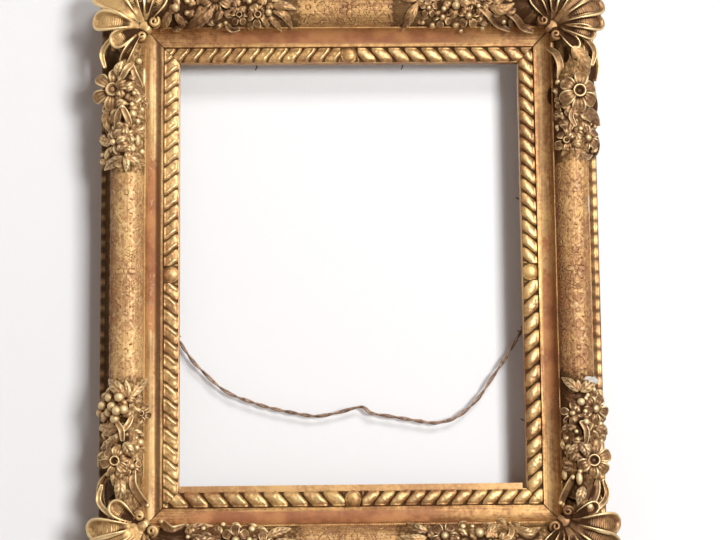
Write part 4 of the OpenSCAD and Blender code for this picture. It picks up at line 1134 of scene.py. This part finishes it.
def top_right(c):
    c.mounds((-75, 49, 22, 16, 1), (-107, 49, 25, 16, 1), (-149, 48, 24, 16, 0.5))
    c.leaf([(-63, 49, 3), (-57, 38, 5), (-49, 26, 2)], 8)
    c.leaf([(-62, 51, 3), (-51, 54, 4), (-41, 54, 1.5)], 7)
    c.flower(-73, 43, 5, 8, 5, 90, "ball")
    c.ball(-77, 31, 3.5, 3)
    c.ball(-68, 33, 2.5, 2.5)
    c.flower(-86, 36, 4.5, 9, 5, 70, "ball")
    c.ball(-98, 45, 5, 3.8)
    c.ball(-99, 31, 3.5, 3.4)
    c.flower(-110, 37, 5, 10.5, 5, 90, "ball")
    c.ball(-124, 29, 2.5, 3)
    c.ball(-104, 27, 1.5, 2.3)
    c.flower(-92, 62, 7, 14, 6, 90, "ring", fat=1.2)
    c.flower(-121, 58, 5.5, 12, 5, 120, "cup")
    c.leaf([(-77, 65, 2), (-66, 70, 2), (-57, 75, 0)], 8)
    c.scroll([(-119, 45, 3), (-128, 38, 4), (-138, 31, 3), (-150, 27, 1.5)], 5, ends=(2.4, 0))
    c.scroll([(-144, 41, 2.5), (-154, 35, 4), (-163, 28, 3), (-172, 26, 1)], 5, ends=(2.6, 0))
    c.leaf([(-129, 45, 2), (-141, 42, 4), (-153, 48, 2)], 9, ribs=6)
    c.leaf([(-137, 52, 2), (-150, 60, 3), (-163, 61, 1)], 9)
    c.leaf([(-140, 62, 1), (-150, 71, 1), (-160, 75, -1)], 8)


def bottom_left(c):
    c.mounds((-154, 42, 25, 14, 0.5), (-115, 44, 24, 14, 1), (-82, 44, 22, 14, 1))
    c.scroll([(-172, 26, 1.5), (-162, 33, 3), (-149, 30, 1.5)], 6, ends=(2.6, 2.6))
    c.leaf([(-151, 34, 2), (-139, 31, 3.5), (-124, 30, 1.5)], 7)
    c.leaf([(-146, 38, 2), (-134, 42, 3), (-120, 40, 1.5)], 8)
    c.flower(-133, 57, 7, 16, 6, -90, "ring", fat=1.2)
    c.flower(-105, 42, 6, 12.5, 6, -90, "ball", fat=1.15)
    c.ball(-91, 33, 3.5, 3.4)
    c.ball(-117, 29, 1.5, 2.7)
    c.ball(-93, 42, 4, 3)
    c.flower(-81, 47, 5, 11, 5, -90, "ball")
    c.leaf([(-78, 40, 2.5), (-68, 36, 4.5), (-55, 33, 2)], 8.5)
    c.leaf([(-75, 46, 2.5), (-62, 45, 4), (-50, 43, 1.5)], 8)
    c.leaf([(-75, 52, 2), (-63, 56, 3), (-55, 63, 1)], 8)
    c.leaf([(-170, 41, 1.5), (-161, 52, 2.5), (-163, 64, 0)], 9)
    c.leaf([(-109, 59, 1), (-98, 66, 1), (-87, 70, -1)], 8)


def bottom_right(c):
    c.mounds((67, 46, 22, 14, 1), (101, 46, 25, 14, 1), (143, 45, 25, 14, 0.5))
    c.leaf([(66, 37, 2.5), (57, 35, 4.5), (47, 29, 2)], 8.5)
    c.leaf([(64, 42, 2.5), (52, 43, 4), (40, 40, 1.5)], 8)
    c.leaf([(64, 49, 2), (53, 53, 3), (44, 60, 1)], 8)
    c.flower(80, 40, 5.5, 12, 5, -60, "ball", fat=1.1)
    c.ball(111, 38, 4, 4.5)
    c.ball(97, 33, 2, 3)
    c.flower(109, 59, 7, 16, 6, -90, "cup", fat=1.2)
    c.flower(81, 61, 4.5, 11, 5, -90, "ball")
    c.leaf([(117, 42, 2.5), (124, 36, 4), (134, 32, 1.5)], 8)
    c.scroll([(131, 45, 2.5), (138, 41, 3.5), (140, 35, 3), (136, 30, 1.5)], 4)
    c.leaf([(142, 34, 2), (155, 39, 3.5), (167, 34, 1.5)], 8.5, ribs=6)
    c.leaf([(134, 50, 2), (145, 56, 3), (159, 56, 1)], 9)
    c.leaf([(134, 61, 1), (142, 69, 1), (153, 72, -1)], 8)


def undergrowth(c, low, high, seed):
    """Small leaves and buds that cover the ground between the larger forms of a spray."""
    dice = np.random.default_rng(seed)
    for u in np.arange(low, high, 7.5):
        for s in (33.0, 41.5, 50.0, 58.5, 67.0):
            pu, ps = u + dice.uniform(-3, 3), s + dice.uniform(-3, 3)
            angle, length, lift = dice.uniform(0, 2 * np.pi), dice.uniform(9, 14), dice.uniform(0.6, 2.2)
            du, ds = length * math.cos(angle) / 2, length * math.sin(angle) / 2
            if dice.random() < 0.2:
                c.ball(pu, ps, lift, dice.uniform(2.0, 3.0))
            elif 28.0 < ps - abs(ds) and ps + abs(ds) < 73.0:
                c.leaf([(pu - du, ps - ds, lift - 0.8), (pu + 0.2 * ds, ps - 0.2 * du, lift + 1.2),
                        (pu + du, ps + ds, lift - 1.0)], dice.uniform(5.5, 8.0), ribs=3)


def on_rail(side):
    return lambda p: to_world(side, p[:, 0], p[:, 1], p[:, 2])


def broken_leaf(p):
    """Bare gesso where the tip of a leaf has broken off the right rail's lower spray."""
    u, s = p[:, 2], p[:, 0] - SIGHT_W / 2
    edge = 0.35 * noise2(u, s, 2.2, 71)
    return smoothstep(1.15, 0.9, np.hypot((u + 100.5 + 0.25 * (s - 58)) / 3.4, (s - 58) / 7.5) + edge)


# Each spray's rail and drawing, the ends and seed of its undergrowth, and how light its gilding is painted
# overall, the top rail's two darker for the shade on them.
SPRAYS = ((LEFT, left_top, (-178, -100, 3), 0.51), (LEFT, left_bottom, (110, 180, 5), 0.50),
          (RIGHT, right_top, (112, 178, 8), 0.44), (RIGHT, right_bottom, (-180, -112, 13), 0.48),
          (TOP, top_left, (76, 160, 21), 0.37), (TOP, top_right, (-150, -66, 34), 0.36),
          (BOTTOM, bottom_left, (-150, -76, 55), 0.46), (BOTTOM, bottom_right, (66, 142, 89), 0.45))
for side, draw, ground, base_light in SPRAYS:
    carving = Carving()
    draw(carving)
    undergrowth(carving, *ground)
    name = draw.__name__
    carved(name, carving, on_rail(side), SPRAY_GILT, "gilt_spray", "spray_" + name, base_light, bole=0.05,
           chip=broken_leaf if draw is right_bottom else None)


# Shells: fans of hollow lobes with thick borders, spreading from two volutes at each corner. A lobe is its
# direction in degrees, 0 towards the side rail's edge and 90 towards the top or bottom rail's, its reach and
# its width.
HUB_H, SHELL_CREST, SHELL_TIP = 45.0, 53.0, 31.0
CREST_R, LOBE_REACH = 26.0, 66.0
VOLUTE, CUP = (21.5, 33.5), (33.0, 20.0)
HATCH_PITCH = 2.1
# How light each shell's gilding is painted overall.
SHELL_LIGHT = {"top_left": 0.55, "bottom_left": 0.62, "top_right": 0.46, "bottom_right": 0.46}
FANS = {
    "top_left": ((7, 48, 20), (-30, 35, 17), (-60, 42, 9), (40, 62, 26), (64, 54, 16), (82, 49, 14),
                 (100, 42, 12), (124, 34, 12)),
    "top_right": ((24, 54, 19), (3, 49, 17), (-15, 41, 13), (-44, 33, 11), (46, 64, 21), (67, 54, 17),
                  (86, 49, 14), (104, 41, 12), (127, 33, 11)),
    "bottom_left": ((3, 50, 20), (-36, 35, 16), (26, 55, 20), (48, 63, 20), (69, 54, 17), (88, 48, 15),
                    (108, 40, 13)),
    "bottom_right": ((3, 51, 20), (-26, 34, 12), (27, 56, 20), (49, 63.5, 20), (70, 53, 17), (88, 48, 15),
                     (108, 40, 13), (128, 33, 11))}


def shell_top(r):
    """Height of the fan at a distance from the hub."""
    rise, fall = smoothstep(0.0, CREST_R, r), smoothstep(CREST_R, LOBE_REACH, r) ** 1.2
    return HUB_H + (SHELL_CREST - HUB_H) * rise - (SHELL_CREST - SHELL_TIP) * fall


def lobe(c, direction, reach, width, drop):
    """One hollow lobe of the fan, its border rolled up and its floor hatched."""
    a = math.radians(direction)
    points = [(HUB[0] + r * math.cos(a), HUB[1] + r * math.sin(a), float(shell_top(r)) - drop + up)
              for r, up in ((5.0, -2.0), (0.38 * reach, 0.0), (0.72 * reach, -0.2), (reach, -1.6))]

    def end(t):
        return np.clip((t - 0.70) / 0.30, 0, 1) ** 2.2

    def top(t, x):
        out = (np.abs(x) ** 2.2 * (1 - end(t)) + end(t)) ** (1 / 2.2)
        body = smoothstep(0.14, 0.36, t)
        hollow = -2.6 * (1 - out ** 3) * body
        rim = 2.0 * np.exp(-((out - 0.80) / 0.15) ** 2) * body
        floor = smoothstep(0.26, 0.40, t) * smoothstep(0.66, 0.5, out)
        lines = 0.36 * np.cos(2 * np.pi * t * reach / HATCH_PITCH) * floor
        return 1.4 + hollow + rim + lines

    def edge(t):
        return width * 0.52 * (0.24 + 0.76 * smoothstep(0, 0.72, t)) * (1 - end(t)) ** (1 / 2.2)

    c.blade(points, edge, top, thick=4.0, columns=29, rows=110)


def draw_shell(c, fan, knob):
    c.turned(50, 48, 0.0, [(0.1, 44.0), (13.0, 43.5), (19.0, 39.0), (22.0, 31.0)], sides=48)
    for k, (direction, reach, width) in enumerate(fan):
        lobe(c, direction, reach, width, 0.7 * (k % 2) + 0.02 * abs(45 - direction))
    if knob:
        a = np.linspace(0.03, 2.6, 12)
        c.turned(76.0, 31.5, 33.0, np.stack([4.6 * np.sin(a), 4.0 * np.cos(a)], axis=-1))
    for (cu, cs), r, hand, start in ((VOLUTE, 5.2, 1, 0.9), (CUP, 4.6, -1, 0.6)):
        c.turned(cu, cs, 43.0, [(0.1, 1.6), (4.4, 1.2), (r + 1.0, -0.4), (r, -6.0)], sides=28)
        t = np.linspace(0, 1, 60)
        a = start + hand * 3.1 * np.pi * t
        reach = r * (1 - 0.86 * t)
        coil = np.stack([cu + reach * np.cos(a), cs + reach * np.sin(a), 44.6 + 2.4 * t], axis=-1)
        c.rings(tube_rings(coil, 2.1 - 0.7 * t, sides=14))
    c.turned(*HUB, HUB_H, [(0.1, 0.3), (4.4, -0.1), (6.6, -2.0), (7.2, -6.0)], sides=28)
    for swap in (False, True):
        run = ((52, 23, 43), (62, 16, 42.5), (70, 6, 36), (67, -8, 37))
        points = [((z, x, h) if swap else (x, z, h)) for x, z, h in run]
        c.blade(points, lambda t: 2.6 * (0.5 + 0.5 * np.sin(np.pi * t) ** 0.5),
                lambda t, x: 1.5 * (0.3 + 0.7 * np.abs(x) ** 1.5) * np.sqrt(1 - 0.75 * np.abs(x) ** 8),
                thick=4.0, columns=13, rows=40)


def shell_painted_shade(p):
    """Painted shade in the volutes' eyes, and leaf painted a little darker over the lobes round the hub, at
    world points.
    """
    x, z = np.abs(p[:, 0]) - SIGHT_W / 2, np.abs(p[:, 2]) - SIGHT_H / 2
    painted_shade = 0.0
    for (cu, cs), r in ((VOLUTE, 4.2), (CUP, 4.4)):
        far = np.hypot(x - cu, z - cs) / r
        painted_shade = painted_shade + 0.23 * smoothstep(1.8, 1.5, far)
    return painted_shade + 0.06 * smoothstep(34, 16, np.hypot(x - HUB[0], z - HUB[1]))


def at_corner(cx, cz):
    return lambda p: np.stack([cx * (SIGHT_W / 2 + p[:, 0]), -p[:, 2], cz * (SIGHT_H / 2 + p[:, 1])], axis=-1)


CORNERS = {"top_left": (-1, 1), "bottom_left": (-1, -1), "top_right": (1, 1), "bottom_right": (1, -1)}
for corner, (cx, cz) in CORNERS.items():
    carving = Carving()
    draw_shell(carving, FANS[corner], knob=corner == "bottom_right")
    carved("shell_" + corner, carving, at_corner(cx, cz), SHELL_GILT if cx < 0 else SHELL_BROWN, "gilt_shell",
           "corner_shell_" + corner, SHELL_LIGHT[corner], painted_shade=shell_painted_shade)


# The small parts that keep their solids: the slip, the brads, the eyes, and the keys let into the back.
PLAIN = {"bottom_slip": SLIP_GILT, "rebate_brads": IRON, "screw_eye_left": IRON, "screw_eye_right": IRON,
         **{"corner_key_" + corner: KEY_WOOD for corner in CORNERS}}
for node, material in PLAIN.items():
    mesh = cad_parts[node].data
    mesh.materials.clear()
    mesh.materials.append(material)


# Studio: a pale wall just behind the frame, clear to a camera behind it, a pale floor, and soft lights.
def looked_at(n):
    """1 for what the camera sees, also in gloss or through glass, and 0 for light on its way."""
    path = n.add("ShaderNodeLightPath").outputs
    return n.math("MAXIMUM", path["Is Camera Ray"],
                  n.math("MAXIMUM", path["Is Glossy Ray"], path["Is Transmission Ray"]))


def backdrop(name, colour, one_sided):
    n = material_nodes(name)
    shade = n.mix(n.noise(n.place(), 1.3, 2.0), colour, tuple(c * 0.97 for c in colour))
    matt = n.add("ShaderNodeBsdfDiffuse", {"Color": shade, "Roughness": 0.5}).outputs[0]
    if not one_sided:
        return n.finish(matt)
    front = n.math("SUBTRACT", 1.0, n.add("ShaderNodeNewGeometry").outputs["Backfacing"])
    clear = n.add("ShaderNodeBsdfTransparent").outputs[0]
    return n.finish(n.add("ShaderNodeMixShader", {0: looked_at(n) * front, 1: clear, 2: matt}).outputs[0])


def make_stage():
    wall_y, floor_z, reach = 16.0, -281.0, 3000.0
    ends = ((-reach, 0), (reach, 0), (reach, 1), (-reach, 1))
    wall = make_mesh("wall", [(x, wall_y, (floor_z, reach)[far]) for x, far in ends], [(0, 1, 2, 3)])
    floor = make_mesh("floor", [(x, (-reach, reach)[far], floor_z) for x, far in ends], [(0, 1, 2, 3)])
    for mesh, material in ((wall, backdrop("wall_paint", (0.81, 0.80, 0.795), True)),
                           (floor, backdrop("floor_paint", (0.80, 0.79, 0.78), False))):
        mesh.materials.append(material)
        o = bpy.data.objects.new(mesh.name, mesh)
        bpy.context.collection.objects.link(o)


LAMP_COLOUR, LAMP_DISTANCE = (0.97, 1.0, 1.02), 3.0


def lamp(name, energy, size, azimuth, elevation, colour=(1.0, 1.0, 1.0)):
    """A square lamp aimed at the frame's middle, azimuth to the right of straight in front."""
    a, e = math.radians(azimuth), math.radians(elevation)
    place = Vector((math.sin(a) * math.cos(e), -math.cos(a) * math.cos(e), math.sin(e))) * LAMP_DISTANCE
    data = bpy.data.lights.new(name, "AREA")
    data.shape, data.size, data.energy, data.color = "SQUARE", size, energy, colour
    o = bpy.data.objects.new(name, data)
    o.location = place
    o.rotation_euler = (-place).to_track_quat("-Z", "Y").to_euler()
    bpy.context.collection.objects.link(o)


make_stage()
lamp("key", energy=77.0, size=0.75, azimuth=28, elevation=3, colour=LAMP_COLOUR)
lamp("high", energy=40.0, size=0.8, azimuth=26, elevation=36, colour=LAMP_COLOUR)
lamp("rear", energy=22.0, size=1.2, azimuth=180, elevation=22)


def make_world():
    """Warm, faint light from all round, behind a background that is plain white to the eye."""
    n = Nodes(bpy.data.worlds.new("studio"), "World")
    glow, white = (n.add("ShaderNodeBackground", {"Color": colour, "Strength": strength}).outputs[0]
                   for colour, strength in (((1.0, 0.68, 0.55), 0.15), ((1.0, 1.0, 1.0), 1.0)))
    seen = n.add("ShaderNodeMixShader", {0: looked_at(n), 1: glow, 2: white}).outputs[0]
    bpy.context.scene.world = n.finish(seen)


make_world()
bpy.context.scene.view_settings.view_transform = "Standard"
